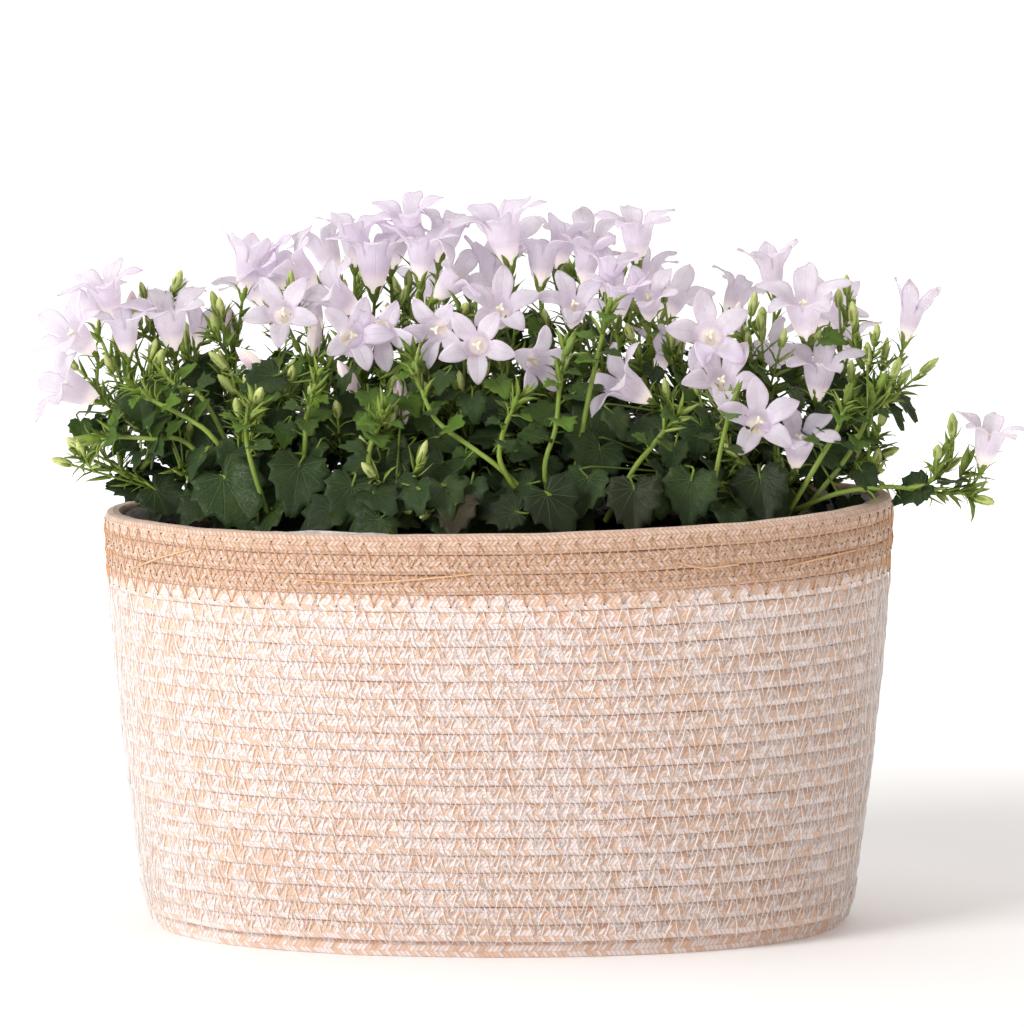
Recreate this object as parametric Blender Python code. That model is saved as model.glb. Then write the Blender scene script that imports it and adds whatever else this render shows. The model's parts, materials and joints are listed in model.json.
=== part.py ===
# A bellflower in full bloom, planted in an oval basket of coiled, braided rope.
# Three crowns stand in plain holes in the peat, inside a thin film liner. Each crown carries leafy
# stems, calyces, buds and spent blooms as one green body, and every open bloom sits on its calyx.
# The origin is on the floor under the middle of the basket, the front faces -Y and +Z is up.

import math
import random

import bmesh
import bpy
from mathutils import Matrix, Vector
from mathutils.bvhtree import BVHTree

cm = 0.01
gap = 0.0003

# Basket
basketHeight = 0.1955
rimHalfLength = 0.181
rimHalfDepth = 0.116
footDrawnIn = 0.019
flarePower = 1.5
ovalPower = 2.15
footRadius = 0.013
wallThickness = 0.0085
grooveDepth = 0.0016
bodyCoils = 21
bandCoils = 3
bandPitch = 0.0091
frontDip = 0.003
rightRise = 0.0035
ovalSteps = 24
bandFoot = basketHeight - bandCoils * bandPitch
innerHeights = (0.08,)

# Liner and soil
linerThickness = 0.0008
linerBelowRim = 0.0028
soilLevel = 0.1800
soilMound = 0.0025
crownRadius = 0.0052
crownFoot = 0.160
crownTop = 0.1885
crownPlaces = (("plant_left", -0.105), ("plant_centre", 0.005), ("plant_right", 0.105))

# Bloom, bud and leaf
tubeLength = 0.0138
tubeFootRadius = 0.0020
mouthRadius = 0.0064
petalLength = 0.0168
petalHalfWidth = 0.0046
petalThickness = 0.0010
calyxLength = 0.0036
calyxRadius = 0.0026
sepalReach = 0.0052
sepalRise = 0.0056
mainStemRadius = 0.0013
mainStemSteps = 4
pedicelRadius = 0.0008
petioleRadius = 0.0007
rootRadius = 0.0005
leafThickness = 0.0009
budRadius = 0.0021
spentRadius = 0.0032
sepalForms = (1.0, 0.7, 0.45, 0.0)

# The eye that the across and height readings were taken from, in centimetres
eyeAcross = 0.6
eyeDistance = 250.0
eyeHeight = 46.2

# Tips of the main stems: across, height, depth. A reading is taken on a ruler that stands in the
# middle of the basket; depth is how far behind it the tip lies, and less than 0 is in front.
stemTips = (
    (-18.6, 21.4, -2.2), (-17.4, 23.9, -1.2), (-15.4, 24.3, -0.2), (-12.4, 24.5, 0.4),
    (-10.2, 24.2, -2.0), (-7.9, 25.0, -0.8), (-5.9, 25.6, 0.6), (-5.6, 21.9, -3.6),
    (-11.6, 21.9, -3.8), (-3.6, 25.6, 0.8), (-1.9, 23.6, -2.0), (0.3, 25.4, 0.6),
    (1.2, 23.2, -2.6), (3.0, 25.2, -0.2), (5.2, 25.6, 0.8), (6.9, 24.6, -0.4),
    (7.6, 21.6, -3.4), (9.4, 23.2, -2.2), (10.3, 21.0, -3.4), (12.4, 20.4, -4.2),
    (12.4, 25.0, 0.2), (14.4, 22.0, -1.6), (16.4, 22.6, -1.0), (18.0, 24.0, -0.8),
)
# The long stem that trails over the right end of the rim: across, height, depth
trailingStem = (
    (13.2, 18.9, -4.6), (15.6, 20.0, -5.0), (18.0, 20.3, -4.4), (20.2, 19.8, -3.8), (21.6, 20.0, -3.4),
)
# Rear stems, by rule
rearStemCount = 5
rearBloomCount = 9

# Open blooms: across, height and depth of the calyx, then the way the bloom looks (right, towards
# the front, up), its size and how far the petals are spread
blooms = (
    (-17.6, 28.0, -0.4, -0.25, 0.30, 0.93, 1.00, 1.0), (-18.6, 26.4, -1.6, -0.55, 0.55, 0.60, 1.05, 1.0),
    (-17.0, 26.2, -0.2, -0.10, 0.15, 0.98, 0.95, 0.9), (-14.9, 26.5, -0.6, -0.10, 0.30, 0.95, 1.15, 1.0),
    (-18.4, 27.5, 2.0, -0.20, -0.20, 0.95, 0.95, 1.0), (-18.4, 24.2, -1.6, -0.82, 0.35, 0.42, 1.10, 1.0),
    (-13.9, 26.6, 0.8, 0.10, -0.10, 0.98, 0.75, 0.4), (-11.7, 29.1, 0.4, 0.15, 0.00, 0.98, 1.00, 0.5),
    (-8.2, 29.2, 0.2, -0.70, 0.10, 0.68, 1.10, 1.0), (-9.6, 29.3, 1.4, -0.60, 0.20, 0.70, 0.95, 1.0),
    (-9.8, 27.9, -1.4, -0.05, 0.95, 0.30, 0.95, 1.0), (-6.6, 30.3, 1.4, 0.00, 0.05, 1.00, 1.05, 0.9),
    (-6.4, 28.2, -0.8, -0.75, 0.30, 0.58, 1.05, 1.0), (-5.7, 29.1, 0.6, 0.00, 0.10, 0.99, 1.25, 1.0),
    (-4.9, 30.2, 2.2, 0.15, -0.10, 0.97, 0.95, 0.9), (-5.4, 27.7, -1.8, 0.00, 0.95, -0.20, 0.95, 1.0),
    (-7.2, 26.9, -2.6, 0.35, 0.88, 0.25, 0.95, 1.0), (-8.2, 27.4, 1.6, -0.30, -0.10, 0.95, 0.75, 0.4),
    (-3.9, 31.2, 0.6, -0.20, 0.30, 0.93, 1.00, 1.0), (-3.6, 29.7, -0.6, 0.05, 0.15, 0.98, 1.05, 0.8),
    (-2.7, 30.5, 1.8, 0.20, 0.10, 0.95, 1.10, 1.0), (-2.9, 28.9, -1.2, 0.65, 0.35, 0.66, 1.00, 1.0),
    (0.5, 30.4, 0.2, -0.20, 0.15, 0.96, 1.25, 1.0), (1.9, 29.4, 1.0, 0.05, -0.05, 0.99, 1.00, 0.9),
    (-0.5, 28.5, 0.6, 0.15, 0.05, 0.98, 1.15, 0.5), (0.0, 27.6, -1.4, 0.05, 0.80, 0.60, 1.00, 1.0),
    (-2.3, 27.6, -2.2, -0.40, 0.88, -0.05, 0.90, 1.0), (-0.9, 26.7, -3.2, -0.05, 0.98, 0.10, 0.95, 1.0),
    (0.9, 26.2, -2.6, 0.55, 0.78, -0.10, 0.90, 1.0), (2.6, 30.2, 2.4, 0.25, -0.20, 0.94, 0.95, 0.8),
    (3.3, 27.6, -0.8, 0.10, 0.65, 0.72, 0.95, 1.0), (3.9, 29.4, 0.8, 0.10, 0.00, 0.99, 0.95, 0.6),
    (4.9, 28.9, -0.4, 0.15, 0.10, 0.98, 0.90, 0.7), (6.3, 30.5, 1.4, 0.00, 0.20, 0.98, 1.10, 1.0),
    (6.6, 28.9, 2.8, 0.10, -0.30, 0.92, 0.95, 0.9), (5.4, 27.8, -1.2, 0.10, 0.25, 0.96, 0.95, 0.8),
    (6.9, 27.9, -0.8, -0.05, 0.60, 0.78, 0.90, 0.8), (6.9, 24.2, -3.2, -0.78, 0.35, 0.52, 1.10, 1.0),
    (7.3, 25.3, 0.6, 0.10, -0.20, 0.96, 0.90, 0.8), (9.7, 26.9, -1.4, -0.05, 0.95, 0.25, 1.10, 1.0),
    (10.1, 24.3, -2.6, 0.05, 0.80, 0.58, 1.05, 1.0), (11.7, 22.7, -3.8, 0.10, 0.90, 0.40, 1.05, 1.0),
    (13.6, 21.1, -3.8, 0.10, 0.45, 0.88, 1.05, 1.0), (12.6, 28.9, 1.2, -0.10, 0.05, 0.98, 0.95, 0.6),
    (14.1, 27.0, -0.6, -0.10, 0.40, 0.90, 1.25, 1.0), (13.6, 25.3, 0.8, -0.60, -0.35, 0.72, 1.00, 1.0),
    (14.6, 24.2, -1.2, 0.05, 0.30, 0.95, 1.10, 1.0), (15.8, 25.9, 1.8, 0.15, -0.20, 0.96, 0.90, 0.8),
    (18.6, 26.9, -0.6, 0.22, 0.05, 0.97, 0.95, 0.3), (22.2, 21.1, -3.4, 0.20, 0.20, 0.95, 1.00, 1.0),
)
# Spent, closed blooms: across, height, depth, then the way they point and their length
spentBlooms = (
    (-16.8, 27.6, 0.4, 0.00, 0.00, 1.00, 0.017), (-12.2, 26.9, 0.8, -0.10, 0.10, 1.00, 0.017),
    (-8.5, 26.3, -1.0, 0.05, 0.20, 0.97, 0.020), (-10.8, 25.5, -2.6, -0.70, 0.30, 0.65, 0.018),
    (-6.5, 24.5, -3.0, -0.47, 0.30, 0.84, 0.019), (-4.6, 25.2, -2.8, 0.15, 0.30, -0.94, 0.022),
    (-1.2, 25.4, -1.4, 0.15, 0.10, 0.98, 0.016), (8.3, 26.4, 0.2, -0.20, 0.10, 0.98, 0.016),
    (11.0, 27.2, 0.6, 0.00, 0.10, 0.99, 0.016), (12.3, 20.1, -4.6, -0.10, 0.40, 0.90, 0.013),
    (-14.2, 20.4, -4.2, 0.35, 0.40, -0.80, 0.018),
)
# Buds: across, height, depth, then the way they point (right, up)
buds = (
    (-16.2, 28.8, 0.8, 0.2, 1.0), (-16.0, 26.0, -1.6, 0.1, 1.0), (-15.9, 27.4, 1.4, 0.1, 1.0),
    (-17.7, 25.4, -2.4, -1.0, 0.3), (-19.3, 25.6, 0.2, -0.6, 0.9), (-13.6, 28.6, -0.6, 0.0, 1.0),
    (-12.7, 28.0, -1.0, 0.2, 1.0), (-12.4, 25.6, -2.0, -0.5, 0.9), (-11.4, 24.7, -3.0, 0.0, 1.0),
    (-11.9, 23.4, -4.2, 0.0, 1.0), (-11.2, 23.0, -4.4, 0.3, 1.0), (-8.6, 24.3, -3.2, 0.0, 1.0),
    (-7.4, 23.4, -4.0, 0.6, 0.7), (-5.2, 22.9, -4.4, 0.2, 1.0), (-4.1, 27.2, 2.8, 0.0, 1.0),
    (-3.9, 24.9, -2.8, 0.1, 1.0), (-3.0, 24.4, -3.2, 0.1, 1.0), (-9.9, 25.2, 0.0, 0.1, 1.0),
    (0.1, 25.6, -1.4, 0.1, 1.0), (7.6, 28.6, 0.8, 0.3, 1.0), (6.1, 27.0, -2.2, 0.2, 1.0),
    (5.6, 29.8, 2.6, -0.1, 1.0), (12.0, 27.4, -1.0, 0.1, 1.0), (16.5, 26.6, -0.6, 0.1, 1.0),
    (16.9, 25.8, -1.8, -0.2, 1.0), (17.6, 25.9, -0.2, 0.3, 1.0), (19.3, 25.4, -0.6, 0.6, 0.8),
    (15.6, 28.4, 0.0, 0.2, 1.0), (12.9, 26.6, -1.8, -0.1, 1.0), (11.5, 26.1, 1.2, 0.0, 1.0),
    (16.1, 25.0, -2.2, 0.0, 1.0), (18.3, 24.9, -1.8, 0.2, 1.0), (10.9, 21.6, -5.0, -0.1, 1.0),
    (17.4, 21.6, -1.4, 0.9, 0.6), (16.9, 20.8, -2.6, 0.4, -0.6), (20.4, 20.9, -3.6, 0.5, 1.0),
    (21.9, 19.7, -4.4, 0.9, 0.3), (21.4, 21.2, -2.6, 0.1, 1.0), (-5.6, 19.0, -7.4, -0.9, 0.4),
    (-4.4, 19.4, -7.2, -0.9, 0.5), (-3.2, 19.0, -7.6, -0.9, 0.4), (-19.6, 21.2, -2.2, -1.0, 0.1),
    (-18.9, 21.9, -2.4, -0.6, 0.9), (9.2, 24.4, -3.6, 0.1, 1.0),
)
# Leaves that show from the front: across, height and depth of the middle, length, the way the tip
# points in degrees from the right, and how squarely the blade faces the front
frontLeaves = (
    (-16.5, 24.0, -2.4, 2.0, -80, 0.9), (-19.2, 22.8, -1.4, 1.1, -85, 0.9),
    (-18.2, 22.8, -1.0, 1.7, -100, 0.5),
    (-17.3, 22.3, -2.8, 1.2, 30, 0.6), (-17.0, 20.3, -1.4, 1.8, 175, 0.7), (-15.3, 19.7, -3.6, 2.2, -40, 0.7),
    (-12.2, 19.8, -6.2, 3.3, -60, 0.8), (-12.0, 21.3, -5.2, 2.1, -95, 0.8),
    (-13.6, 21.3, -4.2, 1.9, 210, 0.7),
    (-13.4, 22.6, -2.6, 1.9, 170, 0.6), (-9.3, 20.4, -6.8, 2.7, -100, 0.8),
    (-6.9, 19.6, -7.8, 2.4, -105, 0.8),
    (-7.6, 22.3, -4.2, 2.5, -80, 0.8), (-5.2, 20.8, -6.0, 2.4, -90, 0.7), (-9.8, 22.6, -5.0, 1.1, -100, 0.8),
    (-8.9, 22.9, -4.6, 1.0, -30, 0.7), (-6.4, 21.3, -6.2, 1.4, 190, 0.7), (-5.0, 21.9, -5.0, 1.1, -100, 0.8),
    (-10.8, 24.8, -3.4, 1.9, 200, 0.6), (-13.4, 25.2, 0.4, 2.2, -60, 0.7), (-6.8, 23.9, -3.6, 1.7, 200, 0.6),
    (-9.2, 19.2, -8.0, 2.1, -80, 0.7), (-13.8, 19.4, -5.6, 2.2, -120, 0.6),
    (-4.4, 21.2, -5.2, 1.9, -120, 0.7),
    (-2.9, 20.8, -6.0, 2.0, -120, 0.7), (-2.5, 22.3, -4.8, 1.5, -20, 0.7), (-1.6, 21.4, -5.4, 1.2, -100, 0.8),
    (-0.6, 23.6, -3.8, 2.2, 185, 0.4), (-0.5, 22.2, -4.6, 1.9, 180, 0.5), (1.1, 21.8, -5.2, 1.2, -10, 0.7),
    (1.9, 23.6, -3.8, 1.5, 170, 0.6), (1.5, 22.6, -4.8, 1.1, 180, 0.7), (0.8, 20.2, -7.0, 1.9, 170, 0.5),
    (2.6, 19.2, -8.4, 2.6, -60, 0.8), (4.2, 23.2, -3.8, 2.4, 95, 0.8), (3.8, 24.4, -3.4, 1.5, -20, 0.4),
    (4.4, 21.3, -5.6, 2.4, -110, 0.8), (3.9, 20.0, -7.2, 2.2, -100, 0.7), (6.2, 19.4, -8.2, 2.5, -90, 0.8),
    (8.0, 21.7, -5.6, 1.4, -100, 0.8), (6.9, 22.7, -4.4, 2.0, 190, 0.5), (6.2, 21.7, -5.4, 1.7, 170, 0.6),
    (8.8, 19.8, -7.4, 2.5, -95, 0.8), (9.2, 21.4, -5.4, 2.6, -100, 0.7), (0.2, 19.0, -8.6, 2.0, 170, 0.6),
    (-2.0, 18.9, -8.8, 2.0, -90, 0.6), (-4.8, 19.8, -7.4, 2.2, -90, 0.7), (12.1, 19.9, -6.2, 2.6, -80, 0.8),
    (15.4, 24.2, -1.0, 1.7, -95, 0.8), (15.1, 23.0, -2.2, 1.7, -100, 0.8), (17.2, 24.2, -1.4, 1.7, -100, 0.8),
    (16.7, 22.8, -1.6, 2.0, -60, 0.8), (16.0, 21.4, -1.8, 2.0, -60, 0.7), (15.0, 21.2, -2.8, 1.9, -110, 0.8),
    (14.0, 20.6, -4.2, 1.8, -150, 0.7), (15.3, 27.0, -1.2, 1.2, -20, 0.5), (19.0, 20.0, -4.2, 1.8, 200, 0.6),
    (21.0, 19.0, -3.6, 1.3, -85, 0.8), (16.9, 20.6, -4.6, 1.3, -60, 0.7), (10.6, 22.2, -4.6, 2.2, -70, 0.7),
    (12.6, 22.6, -2.6, 2.2, -100, 0.7), (-15.2, 22.0, -1.4, 2.0, -70, 0.7),
    (-10.4, 22.9, -3.6, 2.2, -90, 0.7),
)
# Leaves of the mound, by rule, over the middle and the back of the pot
moundLeafCount = 66
moundFront = -0.1
stemLeafPlaces = (0.65,)

# Coarse outline of one half of a leaf blade, as shares of its length: along the rib, and out from it
leafNotch = (0.07, 0.0)
leafTeeth = ((-0.12, 0.25), (0.07, 0.38), (0.20, 0.52), (0.42, 0.40), (0.58, 0.38))
leafTip = (1.0, 0.0)
leafHeart = (0.34, 0.0)

# A body with fewer faces than this is a scrap or a sealed hollow that joining leaves
scrapFaces = 20
# Edges that turn more than this stay sharp
sharpAngle = math.radians(38)

# Ways to bend a stem clear, as sideways shifts of its middle in centimetres
bends = ((0, 0), (0.5, 0), (-0.5, 0), (0, 0.5), (0, -0.5), (1.0, 0), (-1.0, 0), (0, 1.0), (0, -1.0),
         (1.5, 0.5), (-1.5, 0.5), (1.5, -0.5), (-1.5, -0.5), (0, 1.8), (0, -1.8), (2.2, 0), (-2.2, 0))
# Ways to move a bloom clear, in centimetres of depth
bloomShifts = (0, 0.4, -0.4, 0.8, -0.8, 1.2, -1.2, 1.6, -1.6, 2.2, -2.2)
# Ways to move a leaf clear: lift and backward shift in centimetres, size, and turn in degrees
leafMoves = ((0, 0, 1.0, 0), (0.3, 0, 1.0, 10), (0.3, 0.3, 0.9, -15), (0.6, 0.3, 0.85, 20),
             (0.6, 0.8, 0.8, -30), (1.0, 0.8, 0.75, 0), (0.2, 1.4, 0.7, 35))


def clearScene():
    for item in list(bpy.data.objects):
        bpy.data.objects.remove(item, do_unlink=True)


def makeMaterial(name, colour, roughness, metallic=0.0):
    material = bpy.data.materials.new(name)
    material.use_nodes = True
    shader = material.node_tree.nodes["Principled BSDF"]
    shader.inputs["Base Color"].default_value = (*colour, 1.0)
    shader.inputs["Roughness"].default_value = roughness
    shader.inputs["Metallic"].default_value = metallic
    return material


def makeObject(name, shape, material=None):
    vertices, faces = shape
    mesh = bpy.data.meshes.new(name)
    mesh.from_pydata([tuple(point) for point in vertices], [], faces)
    work = bmesh.new()
    work.from_mesh(mesh)
    bmesh.ops.recalc_face_normals(work, faces=work.faces)
    work.to_mesh(mesh)
    work.free()
    made = bpy.data.objects.new(name, mesh)
    bpy.context.scene.collection.objects.link(made)
    if material:
        mesh.materials.append(material)
    smoothRound(mesh)
    return made


def smoothRound(mesh):
    mesh.shade_smooth()
    mesh.set_sharp_from_angle(angle=sharpAngle)


# The oval basket
def wallInset(height):
    return footDrawnIn * max(0.0, 1.0 - height / basketHeight) ** flarePower


def footRounding(height):
    below = max(0.0, footRadius - height)
    return footRadius - math.sqrt(footRadius ** 2 - below ** 2)


def rimRise(angle):
    return rightRise * math.cos(angle) - frontDip * math.sin(angle) ** 2


def ovalPoint(angle, inset, height):
    power = 2.0 / ovalPower
    across = math.copysign(abs(math.cos(angle)) ** power, math.cos(angle)) * (rimHalfLength - inset)
    depth = math.copysign(abs(math.sin(angle)) ** power, math.sin(angle)) * (rimHalfDepth - inset)
    return Vector((across, depth, height + rimRise(angle) * (height / basketHeight) ** 2))


def ovalRing(height, inset):
    turn = 2.0 * math.pi / ovalSteps
    return [ovalPoint(step * turn, wallInset(height) + inset, height) for step in range(ovalSteps)]


def loft(rings, closed=False):
    # Walls are split the same way whether their rings rise or fall, so that nested walls keep their gap
    vertices = [point for ring in rings for point in ring]
    count = len(rings[0])
    faces = []
    for row in range(len(rings) if closed else len(rings) - 1):
        after = (row + 1) % len(rings)
        low, high = row * count, after * count
        rising = rings[row][0].z <= rings[after][0].z
        for step in range(count):
            ahead = (step + 1) % count
            if rising:
                faces += [(low + step, low + ahead, high + ahead), (low + step, high + ahead, high + step)]
            else:
                faces += [(low + step, low + ahead, high + step), (low + ahead, high + ahead, high + step)]
    if not closed:
        for first in (0, (len(rings) - 1) * count):
            ring = list(range(first, first + count))
            centre = sum((vertices[index] for index in ring), Vector()) / count
            vertices.append(centre)
            faces.extend((ring[step], ring[(step + 1) % count], len(vertices) - 1) for step in range(count))
    return vertices, faces


def basketBody():
    pitch = bandFoot / bodyCoils
    rings = [ovalRing(0.0, footRounding(0.0))]
    for coil in range(bodyCoils):
        low, middle = coil * pitch, (coil + 0.5) * pitch
        if coil:
            rings.append(ovalRing(low, grooveDepth + footRounding(low)))
        rings.append(ovalRing(middle, footRounding(middle)))
    top = bandFoot - gap
    rings.append(ovalRing(top, grooveDepth))
    rings.append(ovalRing(top, wallThickness))
    rings.extend(ovalRing(height, wallThickness) for height in reversed(innerHeights))
    rings.append(ovalRing(wallThickness, wallThickness))
    return loft(rings)


def basketBand():
    rings = [ovalRing(bandFoot, grooveDepth)]
    for coil in range(bandCoils):
        if coil:
            rings.append(ovalRing(bandFoot + coil * bandPitch, grooveDepth))
        rings.append(ovalRing(bandFoot + (coil + 0.5) * bandPitch, 0.0))
    shoulder = wallThickness / 4
    rings.append(ovalRing(basketHeight - shoulder / 2, shoulder / 2))
    rings.append(ovalRing(basketHeight, wallThickness / 2))
    rings.append(ovalRing(basketHeight - shoulder / 2, wallThickness - shoulder / 2))
    rings.append(ovalRing(basketHeight - bandPitch / 2, wallThickness))
    rings.append(ovalRing(bandFoot, wallThickness))
    return loft(rings, closed=True)


def cupRings(inset, floor, top):
    heights = [floor, *innerHeights, bandFoot, top]
    return [ovalRing(height, inset) for height in heights]


def linerShell():
    top = basketHeight - linerBelowRim
    outside = cupRings(wallThickness + gap, wallThickness + gap, top)
    inside = cupRings(wallThickness + gap + linerThickness, wallThickness + gap + linerThickness, top)
    return loft(outside + inside[::-1])


def soilShape():
    inset = wallThickness + 2 * gap + linerThickness
    rings = cupRings(inset, wallThickness + 2 * gap + linerThickness, soilLevel)
    rand = random.Random(5)
    edge = rings[-1]
    for share in (0.72, 0.38):
        ring = [Vector((point.x * share, point.y * share, soilLevel + rand.uniform(0.2, 1.0) * soilMound))
                for point in edge]
        rings.append(ring)
    return loft(rings)


# Pieces of the plant
def spanAxes(aim, spin=0.0):
    side = aim.orthogonal().normalized()
    side.rotate(Matrix.Rotation(spin, 3, aim))
    return side, aim.cross(side).normalized()


def bloomShape(foot, aim, size, spread, spin):
    # A bell of five pointed petals: outer wall, the petals' undersides and uppersides, then the throat
    side, other = spanAxes(aim, spin)
    mouth = mouthRadius * size * (0.72 + 0.28 * spread)
    tube = tubeLength * size
    length = petalLength * size
    half = petalHalfWidth * size
    rise = math.radians(68 - 44 * spread)
    curl = 0.5 * spread - 0.12
    turn = 2.0 * math.pi / 5

    def at(angle, radius, height):
        return foot + (side * math.cos(angle) + other * math.sin(angle)) * radius + aim * (height + gap)

    vertices = [at(step * turn, tubeFootRadius * size, 0.0) for step in range(5)]
    vertices += [at(step * turn, mouth, tube) for step in range(5)]
    vertices += [at(step * turn, mouth - petalThickness, tube + petalThickness / 2) for step in range(5)]
    vertices.append(at(0.0, 0.0, 0.4 * tube))
    faces = [(0, 1, 2, 3, 4)]
    for step in range(5):
        after = (step + 1) % 5
        middle = (step + 0.5) * turn
        out = side * math.cos(middle) + other * math.sin(middle)
        sideways = other * math.cos(middle) - side * math.sin(middle)
        root = at(middle, mouth * math.cos(turn / 2), tube)
        forward = out * math.cos(rise) + aim * math.sin(rise)
        up = aim * math.cos(rise) - out * math.sin(rise)

        def onPetal(along, across, lift=0.0):
            bend = curl * along * along * length
            return root + forward * along * length + sideways * across + up * (lift - bend)

        start = len(vertices)
        vertices += [onPetal(0.5, -half), onPetal(0.5, half), onPetal(1.0, 0.0)]
        vertices.append(onPetal(0.45, 0.0, petalThickness))
        left, right, tip, heart = range(start, start + 4)
        faces.append((step, after, 5 + after, 5 + step))
        faces += [(5 + step, left, tip), (5 + step, tip, 5 + after), (5 + after, tip, right)]
        rim = (10 + step, left, tip, right, 10 + after)
        faces += [(first, second, heart) for first, second in zip(rim, rim[1:] + rim[:1])]
        faces += [(5 + step, 10 + step, left), (5 + after, 10 + after, right)]
        faces.append((10 + step, 10 + after, 15))
    return vertices, faces


def ringAxes(path):
    # Two directions across a path at each of its points, carried along it without a twist
    side = (path[1] - path[0]).orthogonal().normalized()
    axes = []
    for index, point in enumerate(path):
        ahead = (path[min(index + 1, len(path) - 1)] - path[max(index - 1, 0)]).normalized()
        side = (side - ahead * side.dot(ahead)).normalized()
        axes.append((side, ahead.cross(side)))
    return axes


def openTube(path, radii, sides=3):
    # A round of faces along the path, with its start closed and its end open
    vertices = []
    for point, radius, (side, other) in zip(path, radii, ringAxes(path)):
        for step in range(sides):
            angle = 2.0 * math.pi * step / sides
            vertices.append(point + (side * math.cos(angle) + other * math.sin(angle)) * radius)
    faces = [tuple(range(sides))]
    for row in range(len(path) - 1):
        for step in range(sides):
            low = row * sides + step
            after = row * sides + (step + 1) % sides
            faces.append((low, after, after + sides, low + sides))
    return vertices, faces


def tubeShape(path, radii, sides=3):
    vertices, faces = openTube(path, radii, sides)
    faces.append(tuple(range(len(vertices) - sides, len(vertices))))
    return vertices, faces


def calyxStalk(path, aim, size, reach, spent=0.0):
    # A stalk that widens into a calyx with five sepals, and ends flat or in a spent, closed bloom
    vertices, faces = openTube(path, [rootRadius] + [pedicelRadius] * (len(path) - 1))
    side = ringAxes(path)[-1][0]
    side = (side - aim * side.dot(aim)).normalized()
    other = aim.cross(side)
    top = path[-1] + aim * calyxLength * size
    first = len(vertices)
    turn = 2.0 * math.pi / 5

    def at(angle, width, height):
        return top + (side * math.cos(angle) + other * math.sin(angle)) * width + aim * height

    vertices += [at(step * turn, calyxRadius * size, 0.0) for step in range(5)]
    neck = range(first - 3, first)
    feet = (neck[0], neck[1], neck[1], neck[2], neck[0])
    for step, foot in enumerate(feet):
        low, high = first + step, first + (step + 1) % 5
        if reach > 0.0:
            width = (calyxRadius + sepalReach * reach) * size
            vertices.append(at((step + 0.5) * turn, width, sepalRise * reach * size))
            tip = len(vertices) - 1
            faces += [(foot, high, tip), (low, foot, tip), (high, low, tip)]
        else:
            faces.append((foot, high, low))
    faces += [(neck[0], neck[1], first + 1), (neck[1], neck[2], first + 3), (neck[2], neck[0], first + 4)]
    if spent <= 0.0:
        faces.append(tuple(range(first, first + 5)))
        return vertices, faces
    middle = len(vertices)
    vertices += [at(step * turn, spentRadius, 0.55 * spent) for step in range(5)]
    vertices.append(at(0.0, 0.0, spent))
    for step in range(5):
        after = (step + 1) % 5
        faces.append((first + step, first + after, middle + after, middle + step))
        faces.append((middle + step, middle + after, middle + 5))
    return vertices, faces


def budStalk(path, radius, length):
    aim = (path[-1] - path[-2]).normalized()
    reach = path + [path[-1] + aim * length * 0.4]
    vertices, faces = openTube(reach, [rootRadius] + [radius] * (len(path) - 1) + [budRadius])
    vertices.append(path[-1] + aim * length)
    tip = len(vertices) - 1
    faces += [(tip - 3 + step, tip - 3 + (step + 1) % 3, tip) for step in range(3)]
    return vertices, faces


def leafStalk(path, middle, along, normal, length, fold, curl):
    # A toothed, heart-shaped blade whose notch runs on into its stalk, which follows the path
    sideways = normal.cross(along).normalized()

    def at(share, out, lift=0.0):
        height = fold * abs(out) - curl * share * share
        return middle + (along * (share - 0.4) + sideways * out + normal * height) * length + normal * lift

    notch = at(*leafNotch)
    vertices = []
    route = [*path, notch]
    for index, point in enumerate(route):
        ahead = (route[index + 1] - point).normalized() if index < len(path) else along
        if 0 < index < len(path):
            ahead = (ahead + (point - route[index - 1]).normalized()).normalized()
        side = (sideways - ahead * ahead.dot(sideways)).normalized()
        below = side.cross(ahead)
        radius = petioleRadius if index else rootRadius * 0.7
        vertices += [point + side * radius, point - side * radius, point + below * radius * 1.2]
    last = len(vertices) - 3
    outline = [at(share, out) for share, out in leafTeeth] + [at(*leafTip)]
    outline += [at(share, -out) for share, out in reversed(leafTeeth)]
    first = len(vertices)
    vertices += outline
    high = len(vertices)
    vertices += [at(*leafHeart, leafThickness / 2), at(*leafHeart, -leafThickness / 2)]
    faces = [(0, 1, 2)]
    for row in range(0, last, 3):
        faces += [(row, row + 1, row + 4, row + 3), (row + 1, row + 2, row + 5, row + 4)]
        faces.append((row + 2, row, row + 3, row + 5))
    rim = [last, *range(first, high), last + 1]
    for start, end in zip(rim, rim[1:]):
        faces += [(start, end, high), (end, start, high + 1)]
    faces += [(last + 1, last, high), (last, last + 2, high + 1), (last + 2, last + 1, high + 1)]
    return vertices, faces


def leafRoute(anchor, base, along):
    # Straight to the blade, or over a knee behind it where the anchor lies beside or ahead of the notch
    if (base - anchor).normalized().dot(along) > 0.45:
        return [anchor]
    return [anchor, base - along * 0.005]


def curvePoints(start, bend, end, steps):
    # Points along one smooth arc that leaves and arrives in line with its bend
    shares = [step / steps for step in range(steps + 1)]
    return [start * (1 - t) ** 2 + bend * 2 * t * (1 - t) + end * t ** 2 for t in shares]


def treeOf(shape):
    return BVHTree.FromPolygons([tuple(point) for point in shape[0]], shape[1], epsilon=0.0)


def seenFrom(across, height, depth):
    # The point at this depth that hides the given readings on the ruler
    reach = 1.0 + depth / eyeDistance
    seenAcross = eyeAcross + (across - eyeAcross) * reach
    seenHeight = eyeHeight + (height - eyeHeight) * reach
    return Vector((seenAcross, depth, seenHeight)) * cm


def insideOval(point, margin):
    limit = wallThickness + linerThickness + margin
    across = abs(point.x) / (rimHalfLength - limit)
    depth = abs(point.y) / (rimHalfDepth - limit)
    return across ** ovalPower + depth ** ovalPower < 1.0


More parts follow.
